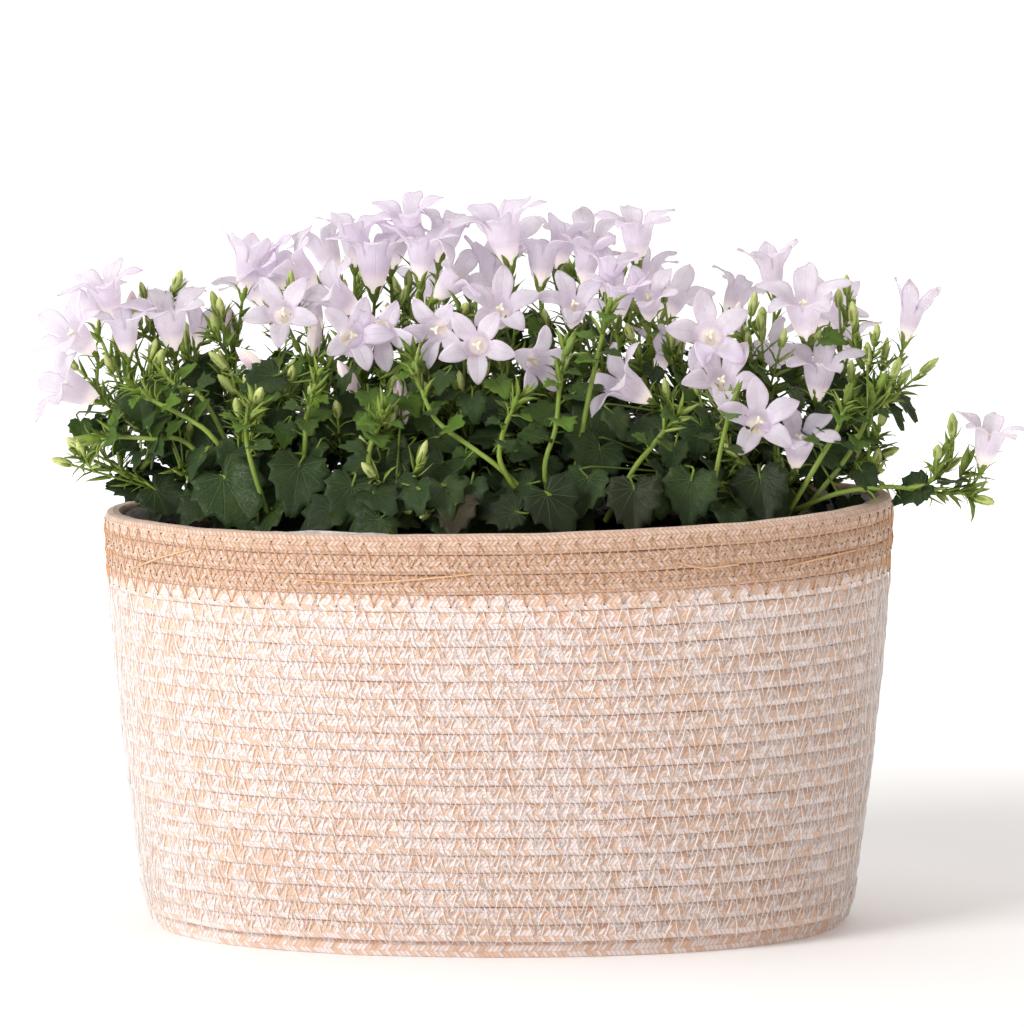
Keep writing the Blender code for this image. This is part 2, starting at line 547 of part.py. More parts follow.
def drawnIn(point, margin):
    # Moved towards the middle of the pot until it clears the rim, where it hangs lower than the rim
    while point.z < basketHeight + 0.004 and not insideOval(point, margin):
        point = Vector((point.x * 0.985, point.y * 0.97, point.z))
    return point


class Garden:
    # Everything that grows, piece by piece, each tested against what already stands
    def __init__(self, fixtures):
        self.fixtures = [treeOf(shape) for shape in fixtures]
        self.blooms = []
        self.bloomTrees = []
        self.green = {name: [] for name, place in crownPlaces}
        self.greenTrees = []
        self.anchors = []
        self.stems = []
        self.leftOut = []
        self.leafCount = 0

    def isClear(self, shape, root):
        # Touches nothing but the piece it is rooted in
        tree = treeOf(shape)
        standing = self.fixtures + self.bloomTrees + self.greenTrees
        return not any(tree.overlap(other) for other in standing if other is not root)

    def add(self, shape, plant, path=()):
        self.green[plant].append(shape)
        self.greenTrees.append(treeOf(shape))
        self.anchors.extend((first.lerp(second, 0.5), plant, self.greenTrees[-1])
                            for first, second in zip(path, path[1:]))
        return self.greenTrees[-1]


def fromRoot(path, share=0.3):
    # The free part of a stem, without the root that is sunk in what carries it
    return [path[0].lerp(path[1], share), *path[1:]]


def bentPaths(start, end, control, steps):
    side, other = spanAxes((end - start).normalized())
    for first, second in bends:
        yield curvePoints(start, control + (side * first + other * second) * cm, end, steps)


def nearestCrown(across):
    return min(crownPlaces, key=lambda item: abs(item[1] - across))


def rearStemTips():
    rand = random.Random(21)
    tips = []
    for index in range(rearStemCount):
        share = (index + 0.5) / rearStemCount * 2.0 - 1.0
        depth = 0.062 * math.sqrt(1.0 - share * share * 0.8) + rand.uniform(-0.008, 0.008)
        across = share * 0.15 + rand.uniform(-0.006, 0.006)
        tips.append(Vector((across, depth, 0.232 + rand.uniform(-0.012, 0.014))))
    return tips


def growMainStems(garden):
    crowns = {}
    for plant, across in crownPlaces:
        foot = Vector((across, 0.0, crownFoot))
        top = Vector((across, 0.0, crownTop))
        crown = tubeShape([foot, top], [crownRadius - gap * 1.5] * 2, 8)
        tree = garden.add(crown, plant, [top - Vector((0, 0, 0.004)), top])
        crowns[plant] = (across, tree)
    radii = [mainStemRadius * (1.0 - 0.06 * step) for step in range(mainStemSteps + 1)]
    for tip in [seenFrom(*reading) for reading in stemTips] + rearStemTips():
        plant, across = nearestCrown(tip.x)
        start = Vector((across, 0.0, crownTop - 0.003))
        lean = Vector((tip.x - across, tip.y, 0.0))
        if lean.length > 0.001:
            start += lean.normalized() * crownRadius * 0.45
        control = start + lean * 0.55 + Vector((0, 0, (tip.z - start.z) * 0.45))
        for path in bentPaths(start, tip, control, mainStemSteps):
            if garden.isClear(tubeShape(fromRoot(path), radii), crowns[plant][1]):
                tree = garden.add(tubeShape(path, radii), plant, path[1:])
                garden.stems.append((plant, path, tree))
                break
        else:
            garden.leftOut.append("main stem")
    plant, across = crownPlaces[-1]
    route = [Vector((across, 0.0, crownTop - 0.003))] + [seenFrom(*reading) for reading in trailingStem]
    path = [route[0]]
    for first, second, third in zip(route, route[1:], route[2:]):
        path.append(second * 0.75 + (first + third) * 0.125)
    path.append(route[-1])
    tree = garden.add(tubeShape(path, [mainStemRadius] * len(path)), plant, path[1:])
    garden.stems.append((plant, path, tree))


def branchPlaces(garden, foot, aim, taken):
    # The places on the stems that a flower stalk most easily springs from
    choices = []
    for number, (plant, path, tree) in enumerate(garden.stems):
        for place in range(2, len(path)):
            away = (foot - aim * 0.01 - path[place]).length
            tooLow = 0.06 if foot.z - path[place].z < 0.008 else 0.0
            choices.append((away + tooLow + 0.003 * taken.get((number, place), 0), number, place))
    return sorted(choices)[:12]


def growStalk(garden, taken, foot, aim, steps, makeShapes):
    # Grows the first of the shapes that passes clear, on a stalk from the nearest main stem
    for cost, number, place in branchPlaces(garden, foot, aim, taken):
        plant, path, tree = garden.stems[number]
        start = path[place].lerp(path[place - 1], 0.4)
        control = foot - aim * min(0.45 * (foot - start).length, 0.022)
        for makeShape in makeShapes:
            for curve in bentPaths(start, foot, control, steps):
                if garden.isClear(makeShape(fromRoot(curve)), tree):
                    taken[(number, place)] = taken.get((number, place), 0) + 1
                    garden.add(makeShape(curve), plant, curve[1:])
                    return True
    return False


def rearBlooms():
    rand = random.Random(77)
    rows = []
    for index in range(rearBloomCount):
        share = (index + 0.5) / rearBloomCount * 2.0 - 1.0
        depth = 0.070 * math.sqrt(1.0 - share * share * 0.75) + rand.uniform(-0.012, 0.012)
        height = 0.262 + 0.028 * math.cos(share * 1.4) + rand.uniform(-0.014, 0.014)
        place = Vector((share * 0.165 + rand.uniform(-0.005, 0.005), depth, height))
        aim = Vector((share * 0.5 + rand.uniform(-0.3, 0.3), rand.uniform(0.2, 0.9), rand.uniform(0.35, 1.0)))
        rows.append((place, aim.normalized(), rand.uniform(0.9, 1.12), rand.choice((0.8, 1.0, 1.0))))
    return rows


def growBlooms(garden):
    # Each bloom is moved nearer or farther until no calyx stands in the petals of another bloom
    rand = random.Random(9)
    rows = []
    for across, height, depth, right, front, up, size, spread in blooms:
        places = [seenFrom(across, height, depth + shift) for shift in bloomShifts]
        rows.append((places, Vector((right, -front, up)).normalized(), size, spread))
    for place, aim, size, spread in rearBlooms():
        rows.append(([place + Vector((0, shift, 0)) * cm for shift in bloomShifts], aim, size, spread))
    necks = []
    for places, aim, size, spread in rows:
        spin = rand.uniform(0.0, 2.0)
        for foot in places:
            bloom = (foot, aim, size, spread, spin)
            tree = treeOf(bloomShape(*bloom))
            neck = treeOf(tubeShape([foot - aim * 0.014, foot - aim * gap], [calyxRadius * size] * 2, 5))
            crossed = [neck.overlap(other) for other in garden.bloomTrees]
            crossed += [tree.overlap(other) for other in necks]
            if not any(crossed):
                break
        garden.blooms.append(bloom)
        garden.bloomTrees.append(tree)
        necks.append(neck)


def growStalks(garden):
    taken = {}
    for number, (foot, aim, size, spread, spin) in enumerate(garden.blooms):
        neck = foot - aim * calyxLength * size
        forms = [lambda path, reach=reach: calyxStalk(path, aim, size, reach) for reach in sepalForms]
        if not growStalk(garden, taken, neck, aim, 2, forms):
            garden.leftOut.append("stalk of bloom %d" % (number + 1))
    for across, height, depth, right, front, up, length in spentBlooms:
        foot = seenFrom(across, height, depth)
        aim = Vector((right, -front, up)).normalized()
        neck = foot - aim * calyxLength * 0.85
        forms = [lambda path, reach=reach: calyxStalk(path, aim, 0.85, reach, length) for reach in sepalForms]
        if not growStalk(garden, taken, neck, aim, 2, forms):
            garden.leftOut.append("spent bloom at %.1f" % across)
    rand = random.Random(31)
    for across, height, depth, right, up in buds:
        aim = Vector((right, rand.uniform(-0.4, 0.2), up)).normalized()
        length = rand.uniform(0.0085, 0.0125)
        form = lambda path: budStalk(path, pedicelRadius * 0.85, length)
        if not growStalk(garden, taken, seenFrom(across, height, depth), aim, 1, [form]):
            garden.leftOut.append("bud at %.1f" % across)


def growLeaf(garden, middle, along, normal, length, fold, curl):
    # Tries a few places and turns for the blade, then joins it to the nearest stem within reach
    for lift, back, size, turn in leafMoves:
        ahead = along.copy()
        ahead.rotate(Matrix.Rotation(math.radians(turn), 3, normal))
        inwards = -math.copysign(back, middle.y) if abs(middle.y) > 0.01 else 0
        centre = middle + Vector((0, inwards, lift)) * cm
        centre = drawnIn(centre, 0.004 + length * size * 0.3)
        base = centre - ahead * length * size * 0.33
        near = sorted(garden.anchors, key=lambda item: (item[0] - base).length
                      + (0.02 if item[0].z > base.z + 0.004 else 0.0)
                      + (0.012 if len(leafRoute(item[0], base, ahead)) > 1 else 0.0))
        for anchor, plant, root in near[:10]:
            route = leafRoute(anchor, base, ahead)
            free = [anchor.lerp((route + [base])[1], 0.2), *route[1:]]
            if garden.isClear(leafStalk(free, centre, ahead, normal, length * size, fold, curl), root):
                garden.add(leafStalk(route, centre, ahead, normal, length * size, fold, curl), plant)
                garden.leafCount += 1
                return True
    return False


def growLeaves(garden):
    rand = random.Random(13)
    for across, height, depth, length, turn, facing in frontLeaves:
        normal = Vector((rand.uniform(-0.25, 0.25), -facing, 1.15 - facing)).normalized()
        picture = Vector((math.cos(math.radians(turn)), -0.15, math.sin(math.radians(turn))))
        along = (picture - normal * picture.dot(normal)).normalized()
        fold = rand.uniform(0.05, 0.3)
        if not growLeaf(garden, seenFrom(across, height, depth), along, normal, length * cm, fold, 0.12):
            garden.leftOut.append("front leaf at %.1f %.1f" % (across, height))
    for plant, path, tree in garden.stems:
        for side, share in zip((1, -1), stemLeafPlaces):
            point = path[min(int(share * (len(path) - 1)) + 1, len(path) - 1)]
            swing = rand.uniform(-0.7, 0.7)
            out = Vector((side * math.cos(swing), math.sin(swing), rand.uniform(-0.1, 0.4))).normalized()
            length = rand.uniform(0.013, 0.020)
            normal = Vector((rand.uniform(-0.4, 0.4), rand.uniform(-0.75, 0.05), 1.0))
            normal = (normal - out * normal.dot(out)).normalized()
            growLeaf(garden, point + out * (length * 0.4 + 0.004), out, normal, length, 0.2, 0.15)
    for index in range(moundLeafCount):
        reach = math.sqrt((index + 0.5) / moundLeafCount)
        angle = index * 2.39996
        across, depth = reach * math.cos(angle), reach * math.sin(angle)
        if depth < moundFront:
            continue
        height = 0.190 + 0.042 * math.sqrt(max(0.0, 1.0 - reach * reach)) * rand.uniform(0.55, 1.1)
        length = rand.uniform(0.019, 0.030)
        lean = Vector((across, depth, 0.0))
        lean.rotate(Matrix.Rotation(rand.uniform(-0.8, 0.8), 3, "Z"))
        tilt = (rand.uniform(-0.3, 0.3), rand.uniform(-0.3, 0.3))
        normal = Vector((across * 0.8 + tilt[0], depth * 0.9 - 0.1 + tilt[1], 0.9)).normalized()
        along = (lean - normal * lean.dot(normal)).normalized() if lean.length > 0.05 else normal.orthogonal()
        middle = Vector((across * 0.152, depth * 0.094, height))
        growLeaf(garden, middle, along, normal, length, rand.uniform(0.05, 0.3), 0.15)


def growGarden(fixtures):
    garden = Garden(fixtures)
    growBlooms(garden)
    growMainStems(garden)
    growStalks(garden)
    growLeaves(garden)
    return garden


# Joining
def closedBodies(work):
    unseen = set(work.faces)
    bodies = []
    while unseen:
        body = [unseen.pop()]
        for face in body:
            near = {other for edge in face.edges for other in edge.link_faces} & unseen
            unseen -= near
            body.extend(near)
        bodies.append(body)
    return sorted(bodies, key=len, reverse=True)


def keepLargestBody(mesh):
    # Fills sealed hollows and drops scraps. Returns the faces of the largest body that went.
    work = bmesh.new()
    work.from_mesh(mesh)
    bodies = closedBodies(work)
    bmesh.ops.delete(work, geom=[face for body in bodies[1:] for face in body], context="FACES")
    work.to_mesh(mesh)
    work.free()
    return len(bodies[1]) if len(bodies) > 1 else 0


def fuse(name, shapes, material, solvers=("EXACT", "MANIFOLD")):
    # One body from crossing shapes, by the first solver that loses no piece
    base = makeObject(name, shapes[0], material)
    if len(shapes) == 1:
        return
    helpers = bpy.data.collections.new(name + " pieces")
    bpy.context.scene.collection.children.link(helpers)
    pieces = [makeObject("%s piece %d" % (name, index), shape) for index, shape in enumerate(shapes[1:])]
    for piece in pieces:
        bpy.context.scene.collection.objects.unlink(piece)
        helpers.objects.link(piece)
    joiner = base.modifiers.new("joined", "BOOLEAN")
    joiner.operation = "UNION"
    joiner.operand_type = "COLLECTION"
    joiner.collection = helpers
    for solver in solvers:
        joiner.solver = solver
        depsgraph = bpy.context.evaluated_depsgraph_get()
        joined = bpy.data.meshes.new_from_object(base.evaluated_get(depsgraph))
        if keepLargestBody(joined) < scrapFaces:
            break
    base.modifiers.clear()
    base.data = joined
    for piece in pieces:
        bpy.data.objects.remove(piece, do_unlink=True)
    bpy.data.collections.remove(helpers)
    joined.materials.clear()
    joined.materials.append(material)
    smoothRound(joined)


def plantHoles():
    shapes = []
    for plant, across in crownPlaces:
        foot = Vector((across, 0.0, crownFoot - gap))
        top = Vector((across, 0.0, soilLevel + 0.02))
        shapes.append(tubeShape([foot, top], [crownRadius] * 2, 8))
    return shapes


def makeSoil(material):
    soil = makeObject("soil", soilShape(), material)
    for shape in plantHoles():
        cutter = makeObject("hole", shape)
        hole = soil.modifiers.new("plant hole", "BOOLEAN")
        hole.operation = "DIFFERENCE"
        hole.object = cutter
        depsgraph = bpy.context.evaluated_depsgraph_get()
        cut = bpy.data.meshes.new_from_object(soil.evaluated_get(depsgraph))
        soil.modifiers.clear()
        soil.data = cut
        bpy.data.objects.remove(cutter, do_unlink=True)
    smoothRound(soil.data)


def bloomClusters(garden):
    # Blooms whose petals cross grow into one body
    count = len(garden.blooms)
    leader = list(range(count))

    def lead(index):
        while leader[index] != index:
            index = leader[index]
        return index

    for first in range(count):
        for second in range(first + 1, count):
            if garden.bloomTrees[first].overlap(garden.bloomTrees[second]):
                leader[lead(second)] = lead(first)
    clusters = {}
    for index in range(count):
        clusters.setdefault(lead(index), []).append(index)
    return list(clusters.values())


def makeBlooms(garden, material):
    for number, cluster in enumerate(bloomClusters(garden)):
        shapes = [bloomShape(*garden.blooms[index]) for index in cluster]
        fuse("bloom_%02d" % (number + 1), shapes, material)


def buildPart():
    clearScene()
    ropeMix = makeMaterial("white and tan rope", (0.80, 0.66, 0.55), 0.95)
    ropeTan = makeMaterial("tan rope", (0.66, 0.45, 0.32), 0.95)
    film = makeMaterial("liner film", (0.72, 0.72, 0.74), 0.35)
    peat = makeMaterial("peat", (0.036, 0.022, 0.023), 1.0)
    foliage = makeMaterial("foliage", (0.085, 0.13, 0.055), 0.55)
    petals = makeMaterial("petals", (0.76, 0.68, 0.82), 0.6)
    body, band, liner, ground = basketBody(), basketBand(), linerShell(), soilShape()
    makeObject("basket_body", body, ropeMix)
    makeObject("basket_rim_band", band, ropeTan)
    makeObject("liner", liner, film)
    makeSoil(peat)
    garden = growGarden((body, band, liner))
    for name, shapes in garden.green.items():
        fuse(name, shapes, foliage, ("MANIFOLD", "EXACT"))
    makeBlooms(garden, petals)
    print(garden.leafCount, "leaves; no clear place for:", ", ".join(garden.leftOut))


buildPart()
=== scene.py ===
# A bellflower in bloom in an oval rope basket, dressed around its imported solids.
import json
import random
from math import atan2, copysign, cos, exp, pi, radians, sin, sqrt

import bmesh
import bpy
import numpy as np
from mathutils import Matrix, Vector, noise
from mathutils.bvhtree import BVHTree

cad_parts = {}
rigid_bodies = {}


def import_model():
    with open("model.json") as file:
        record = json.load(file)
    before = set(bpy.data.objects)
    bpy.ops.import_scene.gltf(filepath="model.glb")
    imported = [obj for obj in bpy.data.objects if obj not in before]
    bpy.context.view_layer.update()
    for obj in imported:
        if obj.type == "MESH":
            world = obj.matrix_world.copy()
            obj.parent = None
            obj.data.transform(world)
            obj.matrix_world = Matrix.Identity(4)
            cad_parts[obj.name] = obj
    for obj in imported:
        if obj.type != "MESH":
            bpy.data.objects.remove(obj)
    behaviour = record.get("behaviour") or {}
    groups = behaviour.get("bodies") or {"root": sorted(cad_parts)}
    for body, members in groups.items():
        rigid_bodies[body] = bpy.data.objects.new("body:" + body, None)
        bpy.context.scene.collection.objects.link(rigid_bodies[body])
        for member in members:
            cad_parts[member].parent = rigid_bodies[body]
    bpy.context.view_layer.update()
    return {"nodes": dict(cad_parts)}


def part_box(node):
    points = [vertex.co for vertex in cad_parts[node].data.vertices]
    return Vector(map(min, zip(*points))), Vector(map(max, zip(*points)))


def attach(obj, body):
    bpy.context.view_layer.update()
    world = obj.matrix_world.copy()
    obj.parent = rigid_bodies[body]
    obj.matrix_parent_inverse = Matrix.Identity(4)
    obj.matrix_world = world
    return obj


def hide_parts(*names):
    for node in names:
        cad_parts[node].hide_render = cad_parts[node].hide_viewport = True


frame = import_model()
scene = bpy.context.scene

cm = 0.01
gap = 0.0003


# Basket
basketHeight = 0.1955
rimHalfLength = 0.181
rimHalfDepth = 0.116
footDrawnIn = 0.019
flarePower = 1.5
ovalPower = 2.15
footRadius = 0.013
wallThickness = 0.0085
bodyCoils = 21
bandCoils = 3
bandPitch = 0.0091
frontDip = 0.003
rightRise = 0.0035
bandFoot = basketHeight - bandCoils * bandPitch

# Liner and soil
linerThickness = 0.0008
linerBelowRim = 0.0028
soilLevel = 0.18
crownRadius = 0.0052
crownFoot = 0.16
crownTop = 0.1885
crownPlaces = (-0.105, 0.005, 0.105)

# Bloom, bud and leaf
tubeLength = 0.0138
tubeFootRadius = 0.002
mouthRadius = 0.0064
petalLength = 0.0168
petalHalfWidth = 0.0046
petalThickness = 0.001
calyxLength = 0.0036
calyxRadius = 0.0026
sepalReach = 0.0052
sepalRise = 0.0056
mainStemRadius = 0.0013
mainStemSteps = 4
pedicelRadius = 0.0008
petioleRadius = 0.0007
rootRadius = 0.0005
leafThickness = 0.0009
budRadius = 0.0021
spentRadius = 0.0032
spentSize = 0.85
sepalForms = (1.0, 0.7, 0.45, 0.0)

# The eye that the across and height readings were taken from, in centimetres
eyeAcross = 0.6
eyeDistance = 250.0
eyeHeight = 46.2

# Tips of the main stems: across, height, depth. A reading is taken on a ruler that stands in the
# middle of the basket; depth is how far behind it the tip lies, and less than 0 is in front.
stemTips = (
    (-18.6, 21.4, -2.2), (-17.4, 23.9, -1.2), (-15.4, 24.3, -0.2), (-12.4, 24.5, 0.4), (-10.2, 24.2, -2),
    (-7.9, 25, -0.8), (-5.9, 25.6, 0.6), (-5.6, 21.9, -3.6), (-11.6, 21.9, -3.8), (-3.6, 25.6, 0.8),
    (-1.9, 23.6, -2), (0.3, 25.4, 0.6), (1.2, 23.2, -2.6), (3, 25.2, -0.2), (5.2, 25.6, 0.8),
    (6.9, 24.6, -0.4), (7.6, 21.6, -3.4), (9.4, 23.2, -2.2), (10.3, 21, -3.4), (12.4, 20.4, -4.2),
    (12.4, 25, 0.2), (14.4, 22, -1.6), (16.4, 22.6, -1), (18, 24, -0.8),
)
# The long stem that trails over the right end of the rim
trailingStem = (
    (13.2, 18.9, -4.6), (15.6, 20, -5), (18, 20.3, -4.4), (20.2, 19.8, -3.8), (21.6, 20, -3.4),
)
# Rear stems, by rule
rearStemCount = 5
rearBloomCount = 9

# Open blooms: across, height and depth of the calyx, then the way the bloom looks (right, towards
# the front, up), its size and how far the petals are spread
blooms = (
    (-17.6, 28, -0.4, -0.25, 0.3, 0.93, 1, 1), (-18.6, 26.4, -1.6, -0.55, 0.55, 0.6, 1.05, 1),
    (-17, 26.2, -0.2, -0.1, 0.15, 0.98, 0.95, 0.9), (-14.9, 26.5, -0.6, -0.1, 0.3, 0.95, 1.15, 1),
    (-18.4, 27.5, 2, -0.2, -0.2, 0.95, 0.95, 1), (-18.4, 24.2, -1.6, -0.82, 0.35, 0.42, 1.1, 1),
    (-13.9, 26.6, 0.8, 0.1, -0.1, 0.98, 0.75, 0.4), (-11.7, 29.1, 0.4, 0.15, 0, 0.98, 1, 0.5),
    (-8.2, 29.2, 0.2, -0.7, 0.1, 0.68, 1.1, 1), (-9.6, 29.3, 1.4, -0.6, 0.2, 0.7, 0.95, 1),
    (-9.8, 27.9, -1.4, -0.05, 0.95, 0.3, 0.95, 1), (-6.6, 30.3, 1.4, 0, 0.05, 1, 1.05, 0.9),
    (-6.4, 28.2, -0.8, -0.75, 0.3, 0.58, 1.05, 1), (-5.7, 29.1, 0.6, 0, 0.1, 0.99, 1.25, 1),
    (-4.9, 30.2, 2.2, 0.15, -0.1, 0.97, 0.95, 0.9), (-5.4, 27.7, -1.8, 0, 0.95, -0.2, 0.95, 1),
    (-7.2, 26.9, -2.6, 0.35, 0.88, 0.25, 0.95, 1), (-8.2, 27.4, 1.6, -0.3, -0.1, 0.95, 0.75, 0.4),
    (-3.9, 31.2, 0.6, -0.2, 0.3, 0.93, 1, 1), (-3.6, 29.7, -0.6, 0.05, 0.15, 0.98, 1.05, 0.8),
    (-2.7, 30.5, 1.8, 0.2, 0.1, 0.95, 1.1, 1), (-2.9, 28.9, -1.2, 0.65, 0.35, 0.66, 1, 1),
    (0.5, 30.4, 0.2, -0.2, 0.15, 0.96, 1.25, 1), (1.9, 29.4, 1, 0.05, -0.05, 0.99, 1, 0.9),
    (-0.5, 28.5, 0.6, 0.15, 0.05, 0.98, 1.15, 0.5), (0, 27.6, -1.4, 0.05, 0.8, 0.6, 1, 1),
    (-2.3, 27.6, -2.2, -0.4, 0.88, -0.05, 0.9, 1), (-0.9, 26.7, -3.2, -0.05, 0.98, 0.1, 0.95, 1),
    (0.9, 26.2, -2.6, 0.55, 0.78, -0.1, 0.9, 1), (2.6, 30.2, 2.4, 0.25, -0.2, 0.94, 0.95, 0.8),
    (3.3, 27.6, -0.8, 0.1, 0.65, 0.72, 0.95, 1), (3.9, 29.4, 0.8, 0.1, 0, 0.99, 0.95, 0.6),
    (4.9, 28.9, -0.4, 0.15, 0.1, 0.98, 0.9, 0.7), (6.3, 30.5, 1.4, 0, 0.2, 0.98, 1.1, 1),
    (6.6, 28.9, 2.8, 0.1, -0.3, 0.92, 0.95, 0.9), (5.4, 27.8, -1.2, 0.1, 0.25, 0.96, 0.95, 0.8),
    (6.9, 27.9, -0.8, -0.05, 0.6, 0.78, 0.9, 0.8), (6.9, 24.2, -3.2, -0.78, 0.35, 0.52, 1.1, 1),
    (7.3, 25.3, 0.6, 0.1, -0.2, 0.96, 0.9, 0.8), (9.7, 26.9, -1.4, -0.05, 0.95, 0.25, 1.1, 1),
    (10.1, 24.3, -2.6, 0.05, 0.8, 0.58, 1.05, 1), (11.7, 22.7, -3.8, 0.1, 0.9, 0.4, 1.05, 1),
    (13.6, 21.1, -3.8, 0.1, 0.45, 0.88, 1.05, 1), (12.6, 28.9, 1.2, -0.1, 0.05, 0.98, 0.95, 0.6),
    (14.1, 27, -0.6, -0.1, 0.4, 0.9, 1.25, 1), (13.6, 25.3, 0.8, -0.6, -0.35, 0.72, 1, 1),
    (14.6, 24.2, -1.2, 0.05, 0.3, 0.95, 1.1, 1), (15.8, 25.9, 1.8, 0.15, -0.2, 0.96, 0.9, 0.8),
    (18.6, 26.9, -0.6, 0.22, 0.05, 0.97, 0.95, 0.3), (22.2, 21.1, -3.4, 0.2, 0.2, 0.95, 1, 1),
)
# Spent, closed blooms: across, height, depth, then the way they point and their length
spentBlooms = (
    (-16.8, 27.6, 0.4, 0, 0, 1, 0.017), (-12.2, 26.9, 0.8, -0.1, 0.1, 1, 0.017),
    (-8.5, 26.3, -1, 0.05, 0.2, 0.97, 0.02), (-10.8, 25.5, -2.6, -0.7, 0.3, 0.65, 0.018),
    (-6.5, 24.5, -3, -0.47, 0.3, 0.84, 0.019), (-4.6, 25.2, -2.8, 0.15, 0.3, -0.94, 0.022),
    (-1.2, 25.4, -1.4, 0.15, 0.1, 0.98, 0.016), (8.3, 26.4, 0.2, -0.2, 0.1, 0.98, 0.016),
    (11, 27.2, 0.6, 0, 0.1, 0.99, 0.016), (12.3, 20.1, -4.6, -0.1, 0.4, 0.9, 0.013),
    (-14.2, 20.4, -4.2, 0.35, 0.4, -0.8, 0.018),
)
# Buds: across, height, depth, then the way they point (right, up)
buds = (
    (-16.2, 28.8, 0.8, 0.2, 1), (-16, 26, -1.6, 0.1, 1), (-15.9, 27.4, 1.4, 0.1, 1),
    (-17.7, 25.4, -2.4, -1, 0.3), (-19.3, 25.6, 0.2, -0.6, 0.9), (-13.6, 28.6, -0.6, 0, 1),
    (-12.7, 28, -1, 0.2, 1), (-12.4, 25.6, -2, -0.5, 0.9), (-11.4, 24.7, -3, 0, 1), (-11.9, 23.4, -4.2, 0, 1),
    (-11.2, 23, -4.4, 0.3, 1), (-8.6, 24.3, -3.2, 0, 1), (-7.4, 23.4, -4, 0.6, 0.7),
    (-5.2, 22.9, -4.4, 0.2, 1), (-4.1, 27.2, 2.8, 0, 1), (-3.9, 24.9, -2.8, 0.1, 1), (-3, 24.4, -3.2, 0.1, 1),
    (-9.9, 25.2, 0, 0.1, 1), (0.1, 25.6, -1.4, 0.1, 1), (7.6, 28.6, 0.8, 0.3, 1), (6.1, 27, -2.2, 0.2, 1),
    (5.6, 29.8, 2.6, -0.1, 1), (12, 27.4, -1, 0.1, 1), (16.5, 26.6, -0.6, 0.1, 1),
    (16.9, 25.8, -1.8, -0.2, 1), (17.6, 25.9, -0.2, 0.3, 1), (19.3, 25.4, -0.6, 0.6, 0.8),
    (15.6, 28.4, 0, 0.2, 1), (12.9, 26.6, -1.8, -0.1, 1), (11.5, 26.1, 1.2, 0, 1), (16.1, 25, -2.2, 0, 1),
    (18.3, 24.9, -1.8, 0.2, 1), (10.9, 21.6, -5, -0.1, 1), (17.4, 21.6, -1.4, 0.9, 0.6),
    (16.9, 20.8, -2.6, 0.4, -0.6), (20.4, 20.9, -3.6, 0.5, 1), (21.9, 19.7, -4.4, 0.9, 0.3),
    (21.4, 21.2, -2.6, 0.1, 1), (-5.6, 19, -7.4, -0.9, 0.4), (-4.4, 19.4, -7.2, -0.9, 0.5),
    (-3.2, 19, -7.6, -0.9, 0.4), (-19.6, 21.2, -2.2, -1, 0.1), (-18.9, 21.9, -2.4, -0.6, 0.9),
    (9.2, 24.4, -3.6, 0.1, 1),
)
